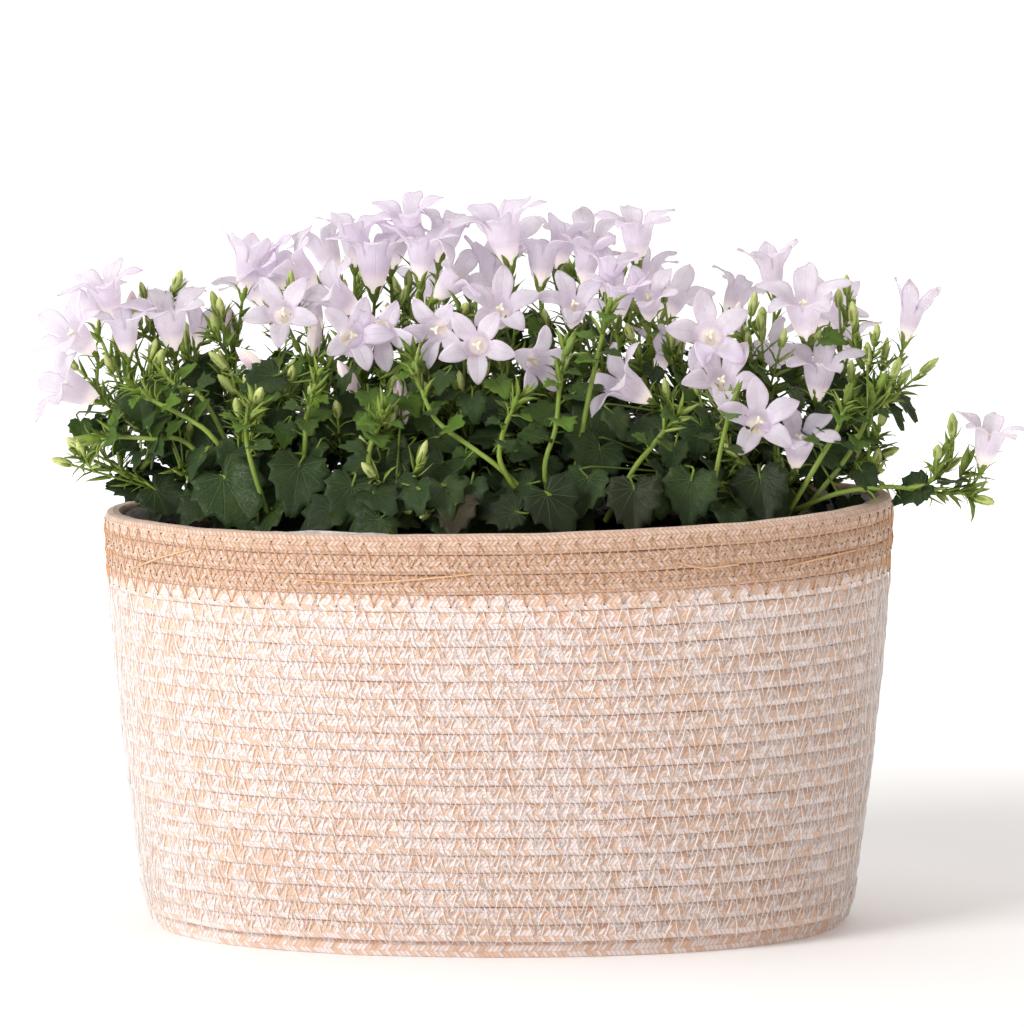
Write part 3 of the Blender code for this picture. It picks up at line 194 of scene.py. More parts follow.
# Leaves that show from the front: across, height and depth of the middle, length, the way the tip
# points in degrees from the right, and how squarely the blade faces the front
frontLeaves = (
    (-16.5, 24, -2.4, 2, -80, 0.9), (-19.2, 22.8, -1.4, 1.1, -85, 0.9), (-18.2, 22.8, -1, 1.7, -100, 0.5),
    (-17.3, 22.3, -2.8, 1.2, 30, 0.6), (-17, 20.3, -1.4, 1.8, 175, 0.7), (-15.3, 19.7, -3.6, 2.2, -40, 0.7),
    (-12.2, 19.8, -6.2, 3.3, -60, 0.8), (-12, 21.3, -5.2, 2.1, -95, 0.8), (-13.6, 21.3, -4.2, 1.9, 210, 0.7),
    (-13.4, 22.6, -2.6, 1.9, 170, 0.6), (-9.3, 20.4, -6.8, 2.7, -100, 0.8),
    (-6.9, 19.6, -7.8, 2.4, -105, 0.8), (-7.6, 22.3, -4.2, 2.5, -80, 0.8), (-5.2, 20.8, -6, 2.4, -90, 0.7),
    (-9.8, 22.6, -5, 1.1, -100, 0.8), (-8.9, 22.9, -4.6, 1, -30, 0.7), (-6.4, 21.3, -6.2, 1.4, 190, 0.7),
    (-5, 21.9, -5, 1.1, -100, 0.8), (-10.8, 24.8, -3.4, 1.9, 200, 0.6), (-13.4, 25.2, 0.4, 2.2, -60, 0.7),
    (-6.8, 23.9, -3.6, 1.7, 200, 0.6), (-9.2, 19.2, -8, 2.1, -80, 0.7), (-13.8, 19.4, -5.6, 2.2, -120, 0.6),
    (-4.4, 21.2, -5.2, 1.9, -120, 0.7), (-2.9, 20.8, -6, 2, -120, 0.7), (-2.5, 22.3, -4.8, 1.5, -20, 0.7),
    (-1.6, 21.4, -5.4, 1.2, -100, 0.8), (-0.6, 23.6, -3.8, 2.2, 185, 0.4), (-0.5, 22.2, -4.6, 1.9, 180, 0.5),
    (1.1, 21.8, -5.2, 1.2, -10, 0.7), (1.9, 23.6, -3.8, 1.5, 170, 0.6), (1.5, 22.6, -4.8, 1.1, 180, 0.7),
    (0.8, 20.2, -7, 1.9, 170, 0.5), (2.6, 19.2, -8.4, 2.6, -60, 0.8), (4.2, 23.2, -3.8, 2.4, 95, 0.8),
    (3.8, 24.4, -3.4, 1.5, -20, 0.4), (4.4, 21.3, -5.6, 2.4, -110, 0.8), (3.9, 20, -7.2, 2.2, -100, 0.7),
    (6.2, 19.4, -8.2, 2.5, -90, 0.8), (8, 21.7, -5.6, 1.4, -100, 0.8), (6.9, 22.7, -4.4, 2, 190, 0.5),
    (6.2, 21.7, -5.4, 1.7, 170, 0.6), (8.8, 19.8, -7.4, 2.5, -95, 0.8), (9.2, 21.4, -5.4, 2.6, -100, 0.7),
    (0.2, 19, -8.6, 2, 170, 0.6), (-2, 18.9, -8.8, 2, -90, 0.6), (-4.8, 19.8, -7.4, 2.2, -90, 0.7),
    (12.1, 19.9, -6.2, 2.6, -80, 0.8), (15.4, 24.2, -1, 1.7, -95, 0.8), (15.1, 23, -2.2, 1.7, -100, 0.8),
    (17.2, 24.2, -1.4, 1.7, -100, 0.8), (16.7, 22.8, -1.6, 2, -60, 0.8), (16, 21.4, -1.8, 2, -60, 0.7),
    (15, 21.2, -2.8, 1.9, -110, 0.8), (14, 20.6, -4.2, 1.8, -150, 0.7), (15.3, 27, -1.2, 1.2, -20, 0.5),
    (19, 20, -4.2, 1.8, 200, 0.6), (21, 19, -3.6, 1.3, -85, 0.8), (16.9, 20.6, -4.6, 1.3, -60, 0.7),
    (10.6, 22.2, -4.6, 2.2, -70, 0.7), (12.6, 22.6, -2.6, 2.2, -100, 0.7), (-15.2, 22, -1.4, 2, -70, 0.7),
    (-10.4, 22.9, -3.6, 2.2, -90, 0.7),
)
# Leaves of the mound, by rule, over the middle and the back of the pot
moundLeafCount = 66
moundFront = -0.1
goldenAngle = 2.39996
stemLeafPlace = 0.65

# Coarse outline of one half of a leaf blade, as shares of its length: along the rib, and out from it
leafNotch = (0.07, 0.0)
leafTeeth = ((-0.12, 0.25), (0.07, 0.38), (0.2, 0.52), (0.42, 0.4), (0.58, 0.38))
leafTip = (1.0, 0.0)
leafHeart = (0.34, 0.0)

# Ways to bend a stem clear, as sideways shifts of its middle in centimetres
bends = ((0, 0), (0.5, 0), (-0.5, 0), (0, 0.5), (0, -0.5), (1.0, 0), (-1.0, 0), (0, 1.0), (0, -1.0),
         (1.5, 0.5), (-1.5, 0.5), (1.5, -0.5), (-1.5, -0.5), (0, 1.8), (0, -1.8), (2.2, 0), (-2.2, 0))
# Ways to move a bloom clear, in centimetres of depth
bloomShifts = (0, 0.4, -0.4, 0.8, -0.8, 1.2, -1.2, 1.6, -1.6, 2.2, -2.2)
# Ways to move a leaf clear: lift and backward shift in centimetres, size, and turn in degrees
leafMoves = ((0, 0, 1.0, 0), (0.3, 0, 1.0, 10), (0.3, 0.3, 0.9, -15), (0.6, 0.3, 0.85, 20),
             (0.6, 0.8, 0.8, -30), (1.0, 0.8, 0.75, 0), (0.2, 1.4, 0.7, 35))


# The oval basket
def wallInset(height):
    return footDrawnIn * max(0.0, 1.0 - height / basketHeight) ** flarePower


def footRounding(height):
    below = max(0.0, footRadius - height)
    return footRadius - sqrt(footRadius ** 2 - below ** 2)


# Pieces of the plant
def spanAxes(aim, spin=0.0):
    side = aim.orthogonal().normalized()
    side.rotate(Matrix.Rotation(spin, 3, aim))
    return side, aim.cross(side).normalized()


def around(side, other, angle):
    return side * cos(angle) + other * sin(angle)


def squareTo(vector, axis):
    # The direction of a vector without its share along the axis
    return (vector - axis * vector.dot(axis)).normalized()


def bloomShape(foot, aim, size, spread, spin):
    # A bell of five pointed petals: outer wall, the petals' undersides and uppersides, then the throat
    side, other = spanAxes(aim, spin)
    mouth = mouthRadius * size * (0.72 + 0.28 * spread)
    tube = tubeLength * size
    length = petalLength * size
    half = petalHalfWidth * size
    rise = radians(68 - 44 * spread)
    curl = 0.5 * spread - 0.12
    turn = 2.0 * pi / 5

    def at(angle, radius, height):
        return foot + around(side, other, angle) * radius + aim * (height + gap)

    vertices = [at(step * turn, tubeFootRadius * size, 0.0) for step in range(5)]
    vertices += [at(step * turn, mouth, tube) for step in range(5)]
    vertices += [at(step * turn, mouth - petalThickness, tube + petalThickness / 2) for step in range(5)]
    vertices.append(at(0.0, 0.0, 0.4 * tube))
    faces = [(0, 1, 2, 3, 4)]
    for step in range(5):
        after = (step + 1) % 5
        middle = (step + 0.5) * turn
        out = around(side, other, middle)
        sideways = around(other, -side, middle)
        root = at(middle, mouth * cos(turn / 2), tube)
        forward = around(out, aim, rise)
        up = around(aim, -out, rise)

        def onPetal(along, across, lift=0.0):
            bend = curl * along * along * length
            return root + forward * along * length + sideways * across + up * (lift - bend)

        start = len(vertices)
        vertices += [onPetal(0.5, -half), onPetal(0.5, half), onPetal(1.0, 0.0)]
        vertices.append(onPetal(0.45, 0.0, petalThickness))
        left, right, tip, heart = range(start, start + 4)
        faces.append((step, after, 5 + after, 5 + step))
        faces += [(5 + step, left, tip), (5 + step, tip, 5 + after), (5 + after, tip, right)]
        rim = (10 + step, left, tip, right, 10 + after)
        faces += [(first, second, heart) for first, second in zip(rim, rim[1:] + rim[:1])]
        faces += [(5 + step, 10 + step, left), (5 + after, 10 + after, right)]
        faces.append((10 + step, 10 + after, 15))
    return vertices, faces


def ringAxes(path):
    # Two directions across a path at each of its points, carried along it without a twist
    side = (path[1] - path[0]).orthogonal().normalized()
    axes = []
    for index in range(len(path)):
        ahead = (path[min(index + 1, len(path) - 1)] - path[max(index - 1, 0)]).normalized()
        side = squareTo(side, ahead)
        axes.append((side, ahead.cross(side)))
    return axes


def openTube(path, radii, sides=3):
    # A round of faces along the path, with its start closed and its end open
    vertices = []
    for point, radius, (side, other) in zip(path, radii, ringAxes(path)):
        for step in range(sides):
            angle = 2.0 * pi * step / sides
            vertices.append(point + around(side, other, angle) * radius)
    faces = [tuple(range(sides))]
    for row in range(len(path) - 1):
        for step in range(sides):
            low = row * sides + step
            after = row * sides + (step + 1) % sides
            faces.append((low, after, after + sides, low + sides))
    return vertices, faces


def tubeShape(path, radii, sides=3):
    vertices, faces = openTube(path, radii, sides)
    faces.append(tuple(range(len(vertices) - sides, len(vertices))))
    return vertices, faces


def calyxStalk(path, aim, size, reach, spent=0.0):
    # A stalk that widens into a calyx with five sepals, and ends flat or in a spent, closed bloom
    vertices, faces = openTube(path, [rootRadius] + [pedicelRadius] * (len(path) - 1))
    side = squareTo(ringAxes(path)[-1][0], aim)
    other = aim.cross(side)
    top = path[-1] + aim * calyxLength * size
    first = len(vertices)
    turn = 2.0 * pi / 5

    def at(angle, width, height):
        return top + around(side, other, angle) * width + aim * height

    vertices += [at(step * turn, calyxRadius * size, 0.0) for step in range(5)]
    neck = range(first - 3, first)
    feet = (neck[0], neck[1], neck[1], neck[2], neck[0])
    for step, foot in enumerate(feet):
        low, high = first + step, first + (step + 1) % 5
        if reach > 0.0:
            width = (calyxRadius + sepalReach * reach) * size
            vertices.append(at((step + 0.5) * turn, width, sepalRise * reach * size))
            tip = len(vertices) - 1
            faces += [(foot, high, tip), (low, foot, tip), (high, low, tip)]
        else:
            faces.append((foot, high, low))
    faces += [(neck[0], neck[1], first + 1), (neck[1], neck[2], first + 3), (neck[2], neck[0], first + 4)]
    if spent <= 0.0:
        faces.append(tuple(range(first, first + 5)))
        return vertices, faces
    middle = len(vertices)
    vertices += [at(step * turn, spentRadius, 0.55 * spent) for step in range(5)]
    vertices.append(at(0.0, 0.0, spent))
    for step in range(5):
        after = (step + 1) % 5
        faces.append((first + step, first + after, middle + after, middle + step))
        faces.append((middle + step, middle + after, middle + 5))
    return vertices, faces


def budStalk(path, radius, length):
    aim = (path[-1] - path[-2]).normalized()
    reach = path + [path[-1] + aim * length * 0.4]
    vertices, faces = openTube(reach, [rootRadius] + [radius] * (len(path) - 1) + [budRadius])
    vertices.append(path[-1] + aim * length)
    tip = len(vertices) - 1
    faces += [(tip - 3 + step, tip - 3 + (step + 1) % 3, tip) for step in range(3)]
    return vertices, faces


def leafStalk(path, middle, along, normal, length, fold, curl):
    # A toothed, heart-shaped blade whose notch runs on into its stalk, which follows the path
    sideways = normal.cross(along).normalized()

    def at(share, out, lift=0.0):
        height = fold * abs(out) - curl * share * share
        return middle + (along * (share - 0.4) + sideways * out + normal * height) * length + normal * lift

    notch = at(*leafNotch)
    vertices = []
    route = [*path, notch]
    for index, point in enumerate(route):
        ahead = (route[index + 1] - point).normalized() if index < len(path) else along
        if 0 < index < len(path):
            ahead = (ahead + (point - route[index - 1]).normalized()).normalized()
        side = squareTo(sideways, ahead)
        below = side.cross(ahead)
        radius = petioleRadius if index else rootRadius * 0.7
        vertices += [point + side * radius, point - side * radius, point + below * radius * 1.2]
    last = len(vertices) - 3
    outline = [at(share, out) for share, out in leafTeeth] + [at(*leafTip)]
    outline += [at(share, -out) for share, out in reversed(leafTeeth)]
    first = len(vertices)
    vertices += outline
    high = len(vertices)
    vertices += [at(*leafHeart, leafThickness / 2), at(*leafHeart, -leafThickness / 2)]
    faces = [(0, 1, 2)]
    for row in range(0, last, 3):
        faces += [(row, row + 1, row + 4, row + 3), (row + 1, row + 2, row + 5, row + 4)]
        faces.append((row + 2, row, row + 3, row + 5))
    rim = [last, *range(first, high), last + 1]
    for start, end in zip(rim, rim[1:]):
        faces += [(start, end, high), (end, start, high + 1)]
    faces += [(last + 1, last, high), (last, last + 2, high + 1), (last + 2, last + 1, high + 1)]
    return vertices, faces


def leafRoute(anchor, base, along):
    # Straight to the blade, or over a knee behind it where the anchor lies beside or ahead of the notch
    if (base - anchor).normalized().dot(along) > 0.45:
        return [anchor]
    return [anchor, base - along * 0.005]


def curvePoints(start, bend, end, steps):
    # Points along one smooth arc that leaves and arrives in line with its bend
    shares = [step / steps for step in range(steps + 1)]
    return [start * (1 - t) ** 2 + bend * 2 * t * (1 - t) + end * t ** 2 for t in shares]


def packedShape(node):
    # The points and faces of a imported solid
    mesh = frame["nodes"][node].data
    return [point.co for point in mesh.vertices], [tuple(face.vertices) for face in mesh.polygons]


def treeOf(shape):
    return BVHTree.FromPolygons([tuple(point) for point in shape[0]], shape[1], epsilon=0.0)


def seenFrom(across, height, depth):
    # The point at this depth that hides the given readings on the ruler
    reach = 1.0 + depth / eyeDistance
    return Vector((eyeAcross + (across - eyeAcross) * reach, depth,
                   eyeHeight + (height - eyeHeight) * reach)) * cm


def insideOval(point, margin):
    limit = wallThickness + linerThickness + margin
    across = abs(point.x) / (rimHalfLength - limit)
    depth = abs(point.y) / (rimHalfDepth - limit)
    return across ** ovalPower + depth ** ovalPower < 1.0


def drawnIn(point, margin):
    # Moved towards the middle of the pot until it clears the rim, where it hangs lower than the rim
    while point.z < basketHeight + 0.004 and not insideOval(point, margin):
        point = Vector((point.x * 0.985, point.y * 0.97, point.z))
    return point


class Garden:
    # Everything that grows, piece by piece, each tested against what already stands
    def __init__(self, fixtures):
        self.fixtures = [treeOf(shape) for shape in fixtures]
        self.bloomTrees, self.greenTrees, self.anchors = [], [], []
        self.blooms, self.stems, self.calyces, self.budsGrown = [], [], [], []
        self.leaves, self.fillers = [], []

    def isClear(self, shape, root):
        # Touches nothing but the piece it is rooted in
        tree = treeOf(shape)
        standing = self.fixtures + self.bloomTrees + self.greenTrees
        return not any(tree.overlap(other) for other in standing if other is not root)

    def add(self, shape, path=()):
        tree = treeOf(shape)
        self.greenTrees.append(tree)
        self.anchors.extend((first.lerp(second, 0.5), tree) for first, second in zip(path, path[1:]))
        return tree


def fromRoot(path, share=0.3):
    # The free part of a stem, without the root that is sunk in what carries it
    return [path[0].lerp(path[1], share), *path[1:]]


def bentPaths(start, end, control, steps):
    side, other = spanAxes((end - start).normalized())
    for first, second in bends:
        yield curvePoints(start, control + (side * first + other * second) * cm, end, steps)


def evenShares(count):
    # Evenly spread places from the left end, -1, to the right end, 1
    return [(index + 0.5) / count * 2.0 - 1.0 for index in range(count)]


def rearStemTips():
    rand = random.Random(21)
    tips = []
    for share in evenShares(rearStemCount):
        depth = 0.062 * sqrt(1.0 - share * share * 0.8) + rand.uniform(-0.008, 0.008)
        across = share * 0.15 + rand.uniform(-0.006, 0.006)
        tips.append(Vector((across, depth, 0.232 + rand.uniform(-0.012, 0.014))))
    return tips


def growMainStems(garden):
    crowns = {}
    for across in crownPlaces:
        top = Vector((across, 0.0, crownTop))
        crown = tubeShape([Vector((across, 0.0, crownFoot)), top], [crownRadius - gap * 1.5] * 2, 8)
        crowns[across] = garden.add(crown, [top - Vector((0, 0, 0.004)), top])
    radii = [mainStemRadius * (1.0 - 0.06 * step) for step in range(mainStemSteps + 1)]
    for tip in [seenFrom(*reading) for reading in stemTips] + rearStemTips():
        across = min(crownPlaces, key=lambda place: abs(place - tip.x))
        start = Vector((across, 0.0, crownTop - 0.003))
        lean = Vector((tip.x - across, tip.y, 0.0))
        if lean.length > 0.001:
            start += lean.normalized() * crownRadius * 0.45
        control = start + lean * 0.55 + Vector((0, 0, (tip.z - start.z) * 0.45))
        for path in bentPaths(start, tip, control, mainStemSteps):
            if garden.isClear(tubeShape(fromRoot(path), radii), crowns[across]):
                garden.stems.append((path, garden.add(tubeShape(path, radii), path[1:])))
                break
    route = [Vector((crownPlaces[-1], 0.0, crownTop - 0.003))]
    route += [seenFrom(*reading) for reading in trailingStem]
    path = [second * 0.75 + (first + third) * 0.125
            for first, second, third in zip(route, route[1:], route[2:])]
    path = [route[0], *path, route[-1]]
    garden.stems.append((path, garden.add(tubeShape(path, [mainStemRadius] * len(path)), path[1:])))


def branchPlaces(garden, foot, aim, taken):
    # The places on the stems that a flower stalk most easily springs from
    choices = []
    for number, (path, _) in enumerate(garden.stems):
        for place in range(2, len(path)):
            away = (foot - aim * 0.01 - path[place]).length
            tooLow = 0.06 if foot.z - path[place].z < 0.008 else 0.0
            choices.append((away + tooLow + 0.003 * taken.get((number, place), 0), number, place))
    return sorted(choices)[:12]


def growStalk(garden, taken, foot, aim, steps, makeShapes):
    # Grows the first of the shapes that passes clear, on a stalk from the nearest main stem
    for _, number, place in branchPlaces(garden, foot, aim, taken):
        path, tree = garden.stems[number]
        start = path[place].lerp(path[place - 1], 0.4)
        control = foot - aim * min(0.45 * (foot - start).length, 0.022)
        for makeShape in makeShapes:
            for curve in bentPaths(start, foot, control, steps):
                if garden.isClear(makeShape(fromRoot(curve)), tree):
                    taken[(number, place)] = taken.get((number, place), 0) + 1
                    garden.add(makeShape(curve), curve[1:])
                    return curve
    return None


def rearBlooms():
    rand = random.Random(77)
    rows = []
    for share in evenShares(rearBloomCount):
        depth = 0.07 * sqrt(1.0 - share * share * 0.75) + rand.uniform(-0.012, 0.012)
        height = 0.262 + 0.028 * cos(share * 1.4) + rand.uniform(-0.014, 0.014)
        place = Vector((share * 0.165 + rand.uniform(-0.005, 0.005), depth, height))
        aim = Vector((share * 0.5 + rand.uniform(-0.3, 0.3), rand.uniform(0.2, 0.9), rand.uniform(0.35, 1.0)))
        rows.append((place, aim.normalized(), rand.uniform(0.9, 1.12), rand.choice((0.8, 1.0, 1.0))))
    return rows


def growBlooms(garden):
    # Each bloom is moved nearer or farther until no calyx stands in the petals of another bloom
    rand = random.Random(9)
    rows = []
    for across, height, depth, right, front, up, size, spread in blooms:
        places = [seenFrom(across, height, depth + shift) for shift in bloomShifts]
        rows.append((places, Vector((right, -front, up)).normalized(), size, spread))
    for place, aim, size, spread in rearBlooms():
        rows.append(([place + Vector((0, shift, 0)) * cm for shift in bloomShifts], aim, size, spread))
    necks = []
    for places, aim, size, spread in rows:
        spin = rand.uniform(0.0, 2.0)
        for foot in places:
            tree = treeOf(bloomShape(foot, aim, size, spread, spin))
            neck = treeOf(tubeShape([foot - aim * 0.014, foot - aim * gap], [calyxRadius * size] * 2, 5))
            crossed = [neck.overlap(other) for other in garden.bloomTrees]
            crossed += [tree.overlap(other) for other in necks]
            if not any(crossed):
                break
        garden.blooms.append((foot, aim, size, spread, spin))
        garden.bloomTrees.append(tree)
        necks.append(neck)


def growStalks(garden):
    # Open blooms, then spent ones, each on its calyx, and buds
    taken = {}
    rows = [(foot, aim, size, 0.0) for foot, aim, size, *_ in garden.blooms]
    rows += [(seenFrom(across, height, depth), Vector((right, -front, up)).normalized(), spentSize, length)
             for across, height, depth, right, front, up, length in spentBlooms]
    for foot, aim, size, spent in rows:
        forms = [lambda path, reach=reach: calyxStalk(path, aim, size, reach, spent) for reach in sepalForms]
        curve = growStalk(garden, taken, foot - aim * calyxLength * size, aim, 2, forms)
        garden.calyces.append((curve, aim, size, spent))
    rand = random.Random(31)
    for across, height, depth, right, up in buds:
        aim = Vector((right, rand.uniform(-0.4, 0.2), up)).normalized()
        length = rand.uniform(0.0085, 0.0125)
        forms = [lambda path: budStalk(path, pedicelRadius * 0.85, length)]
        stalk = growStalk(garden, taken, seenFrom(across, height, depth), aim, 1, forms)
        garden.budsGrown.append((stalk, length))


def growLeaf(garden, middle, along, normal, length, fold, curl):
    # Tries a few places and turns for the blade, then joins it to the nearest stem within reach
    for lift, back, size, turn in leafMoves:
        ahead = along.copy()
        ahead.rotate(Matrix.Rotation(radians(turn), 3, normal))
        inwards = -copysign(back, middle.y) if abs(middle.y) > 0.01 else 0
        centre = drawnIn(middle + Vector((0, inwards, lift)) * cm, 0.004 + length * size * 0.3)
        base = centre - ahead * length * size * 0.33
        near = sorted(garden.anchors, key=lambda item: (item[0] - base).length
                      + (0.02 if item[0].z > base.z + 0.004 else 0.0)
                      + (0.012 if len(leafRoute(item[0], base, ahead)) > 1 else 0.0))
        blade = (centre, ahead, normal, length * size, fold)
        for anchor, root in near[:10]:
            route = leafRoute(anchor, base, ahead)
            free = [anchor.lerp((route + [base])[1], 0.2), *route[1:]]
            if garden.isClear(leafStalk(free, *blade, curl), root):
                garden.add(leafStalk(route, *blade, curl))
                garden.leaves.append((route, *blade))
                return


def growLeaves(garden):
    # The leaves that were read from the front, one up each main stem, and the mound's
    rand = random.Random(13)
    for across, height, depth, length, turn, facing in frontLeaves:
        normal = Vector((rand.uniform(-0.25, 0.25), -facing, 1.15 - facing)).normalized()
        picture = Vector((cos(radians(turn)), -0.15, sin(radians(turn))))
        fold = rand.uniform(0.05, 0.3)
        middle, along = seenFrom(across, height, depth), squareTo(picture, normal)
        growLeaf(garden, middle, along, normal, length * cm, fold, 0.12)
    for path, _ in garden.stems:
        point = path[min(int(stemLeafPlace * (len(path) - 1)) + 1, len(path) - 1)]
        swing = rand.uniform(-0.7, 0.7)
        out = Vector((cos(swing), sin(swing), rand.uniform(-0.1, 0.4))).normalized()
        length = rand.uniform(0.013, 0.02)
        normal = squareTo(Vector((rand.uniform(-0.4, 0.4), rand.uniform(-0.75, 0.05), 1.0)), out)
        growLeaf(garden, point + out * (length * 0.4 + 0.004), out, normal, length, 0.2, 0.15)
    for index in range(moundLeafCount):
        reach = sqrt((index + 0.5) / moundLeafCount)
        angle = index * goldenAngle
        across, depth = reach * cos(angle), reach * sin(angle)
        if depth < moundFront:
            continue
        height = 0.19 + 0.042 * sqrt(max(0.0, 1.0 - reach * reach)) * rand.uniform(0.55, 1.1)
        length = rand.uniform(0.019, 0.03)
        lean = Vector((across, depth, 0.0))
        lean.rotate(Matrix.Rotation(rand.uniform(-0.8, 0.8), 3, "Z"))
        tilt = (rand.uniform(-0.3, 0.3), rand.uniform(-0.3, 0.3))
        normal = Vector((across * 0.8 + tilt[0], depth * 0.9 - 0.1 + tilt[1], 0.9)).normalized()
        along = squareTo(lean, normal) if lean.length > 0.05 else normal.orthogonal()
        middle = Vector((across * 0.152, depth * 0.094, height))
        growLeaf(garden, middle, along, normal, length, rand.uniform(0.05, 0.3), 0.15)


def growGarden(fixtures):
    garden = Garden(fixtures)
    growBlooms(garden)
    growMainStems(garden)
    growStalks(garden)
    growLeaves(garden)
    return garden


# Making pieces
def smoothStep(low, high, value):
    share = min(1.0, max(0.0, (value - low) / (high - low)))
    return share * share * (3.0 - 2.0 * share)


def pointValues(mesh, name, kind, values):
    # One value for each point of a mesh
    field = "vector" if kind == "FLOAT_VECTOR" else "value"
    mesh.attributes.new(name, kind, "POINT").data.foreach_set(field, values)


class Pile:
    # The points, faces, map and tints of one piece, gathered strip by strip
    def __init__(self):
        self.points, self.corners, self.maps, self.tints = [], [], [], []
        self.count = 0

    def grid(self, points, us=None, vs=None, closeRows=False, closeColumns=False, tint=0.0):
        # Faces between rows of points; us runs over the rows and vs over the columns
        rows, columns = points.shape[:2]
        us = np.linspace(0, 1, rows + closeRows) if us is None else np.asarray(us, float)
        vs = np.linspace(0, 1, columns + closeColumns) if vs is None else np.asarray(vs, float)
        row, column = np.meshgrid(np.arange(len(us) - 1), np.arange(len(vs) - 1), indexing="ij")
        nextRow, nextColumn = (row + 1) % rows, (column + 1) % columns
        corners = np.stack((row * columns + column, row * columns + nextColumn,
                            nextRow * columns + nextColumn, nextRow * columns + column), -1)
        round4 = ((row, column), (row, column + 1), (row + 1, column + 1), (row + 1, column))
        self.maps.append(np.stack([np.stack((us[r], vs[c]), -1) for r, c in round4], -2).reshape(-1, 2))
        self.points.append(points.reshape(-1, 3))
        self.corners.append(corners.ravel() + self.count)
        self.tints.append(np.full(rows * columns, tint))
        self.count += rows * columns

    def mesh(self, name, swapMap=False):
        made = bpy.data.meshes.new(name)
        corners = np.concatenate(self.corners).astype(np.int32)
        made.vertices.add(self.count)
        made.vertices.foreach_set("co", np.concatenate(self.points).astype(np.float32).ravel())
        made.loops.add(len(corners))
        made.loops.foreach_set("vertex_index", corners)
        made.polygons.add(len(corners) // 4)
        made.polygons.foreach_set("loop_start", np.arange(0, len(corners), 4, dtype=np.int32))
        maps = np.concatenate(self.maps)[:, ::-1 if swapMap else 1].astype(np.float32)
        made.uv_layers.new(name="UVMap").data.foreach_set("uv", maps.ravel())
        pointValues(made, "tint", "FLOAT", np.concatenate(self.tints).astype(np.float32))
        made.update(calc_edges=True)
        made.validate()
        return made


def cleanMesh(mesh, merge=0.00001, outwards=True):
    # Meeting points become one, and faces turn outwards
    work = bmesh.new()
    work.from_mesh(mesh)
    bmesh.ops.remove_doubles(work, verts=work.verts, dist=merge)
    bmesh.ops.dissolve_degenerate(work, edges=work.edges, dist=merge / 10)
    if outwards:
        bmesh.ops.recalc_face_normals(work, faces=work.faces)
    work.to_mesh(mesh)
    work.free()
    return mesh


def capEnds(mesh, below=1.0):
    # Closes the open ends that lie under a height
    work = bmesh.new()
    work.from_mesh(mesh)
    rim = [edge for edge in work.edges if edge.is_boundary and max(v.co.z for v in edge.verts) < below]
    bmesh.ops.holes_fill(work, edges=rim, sides=0)
    bmesh.ops.recalc_face_normals(work, faces=work.faces)
    work.to_mesh(mesh)
    work.free()
    return mesh


def placed(name, data):
    thing = bpy.data.objects.new(name, data)
    scene.collection.objects.link(thing)
    return thing


def placePiece(name, mesh, material, slot, nodes=()):
    # Every face smooth, riding on the pot
    piece = placed(name, mesh)
    mesh.materials.clear()
    for side in material if isinstance(material, tuple) else (material,):
        mesh.materials.append(side)
    mesh.shade_smooth()
    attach(piece, "root")
    if nodes:
        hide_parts(*nodes)
    return piece


def bakedMesh(source, name):
    # The mesh that an object's modifiers give
    depsgraph = bpy.context.evaluated_depsgraph_get()
    mesh = bpy.data.meshes.new_from_object(source.evaluated_get(depsgraph))
    mesh.name = name
    bpy.data.objects.remove(source, do_unlink=True)
    return mesh


def thickened(mesh, thickness, name, twoSided=False):
    # A sheet with a thickness; a two-sided one wears its second material on the other side
    helper = placed(name, mesh)
    while len(mesh.materials) < 2:
        mesh.materials.append(None)
    wall = helper.modifiers.new("wall", "SOLIDIFY")
    wall.thickness = thickness
    wall.offset = 0.0
    wall.material_offset = 1 if twoSided else 0
    return bakedMesh(helper, name)


class Wiring:
    # Short calls for the nodes of one tree
    def link(self, source, socket):
        if isinstance(source, bpy.types.NodeSocket):
            self.nodeTree.links.new(source, socket)
        else:
            socket.default_value = source

    def put(self, kind, sources=None, out=0, **settings):
        # Adds a node; its sockets go by number, or by name among those in use
        node = self.nodeTree.nodes.new(kind)
        for key, value in settings.items():
            setattr(node, key, value)

        def pick(sockets, key):
            if isinstance(key, int):
                return sockets[key]
            return next(one for one in sockets if one.enabled and key in (one.identifier, one.name))

        for key, source in (sources or {}).items():
            self.link(source, pick(node.inputs, key))
        return pick(node.outputs, out)

    def maths(self, operation, first, second=0.0, third=0.0):
        return self.put("ShaderNodeMath", {0: first, 1: second, 2: third}, operation=operation)

    def times(self, first, second):
        return self.maths("MULTIPLY", first, second)


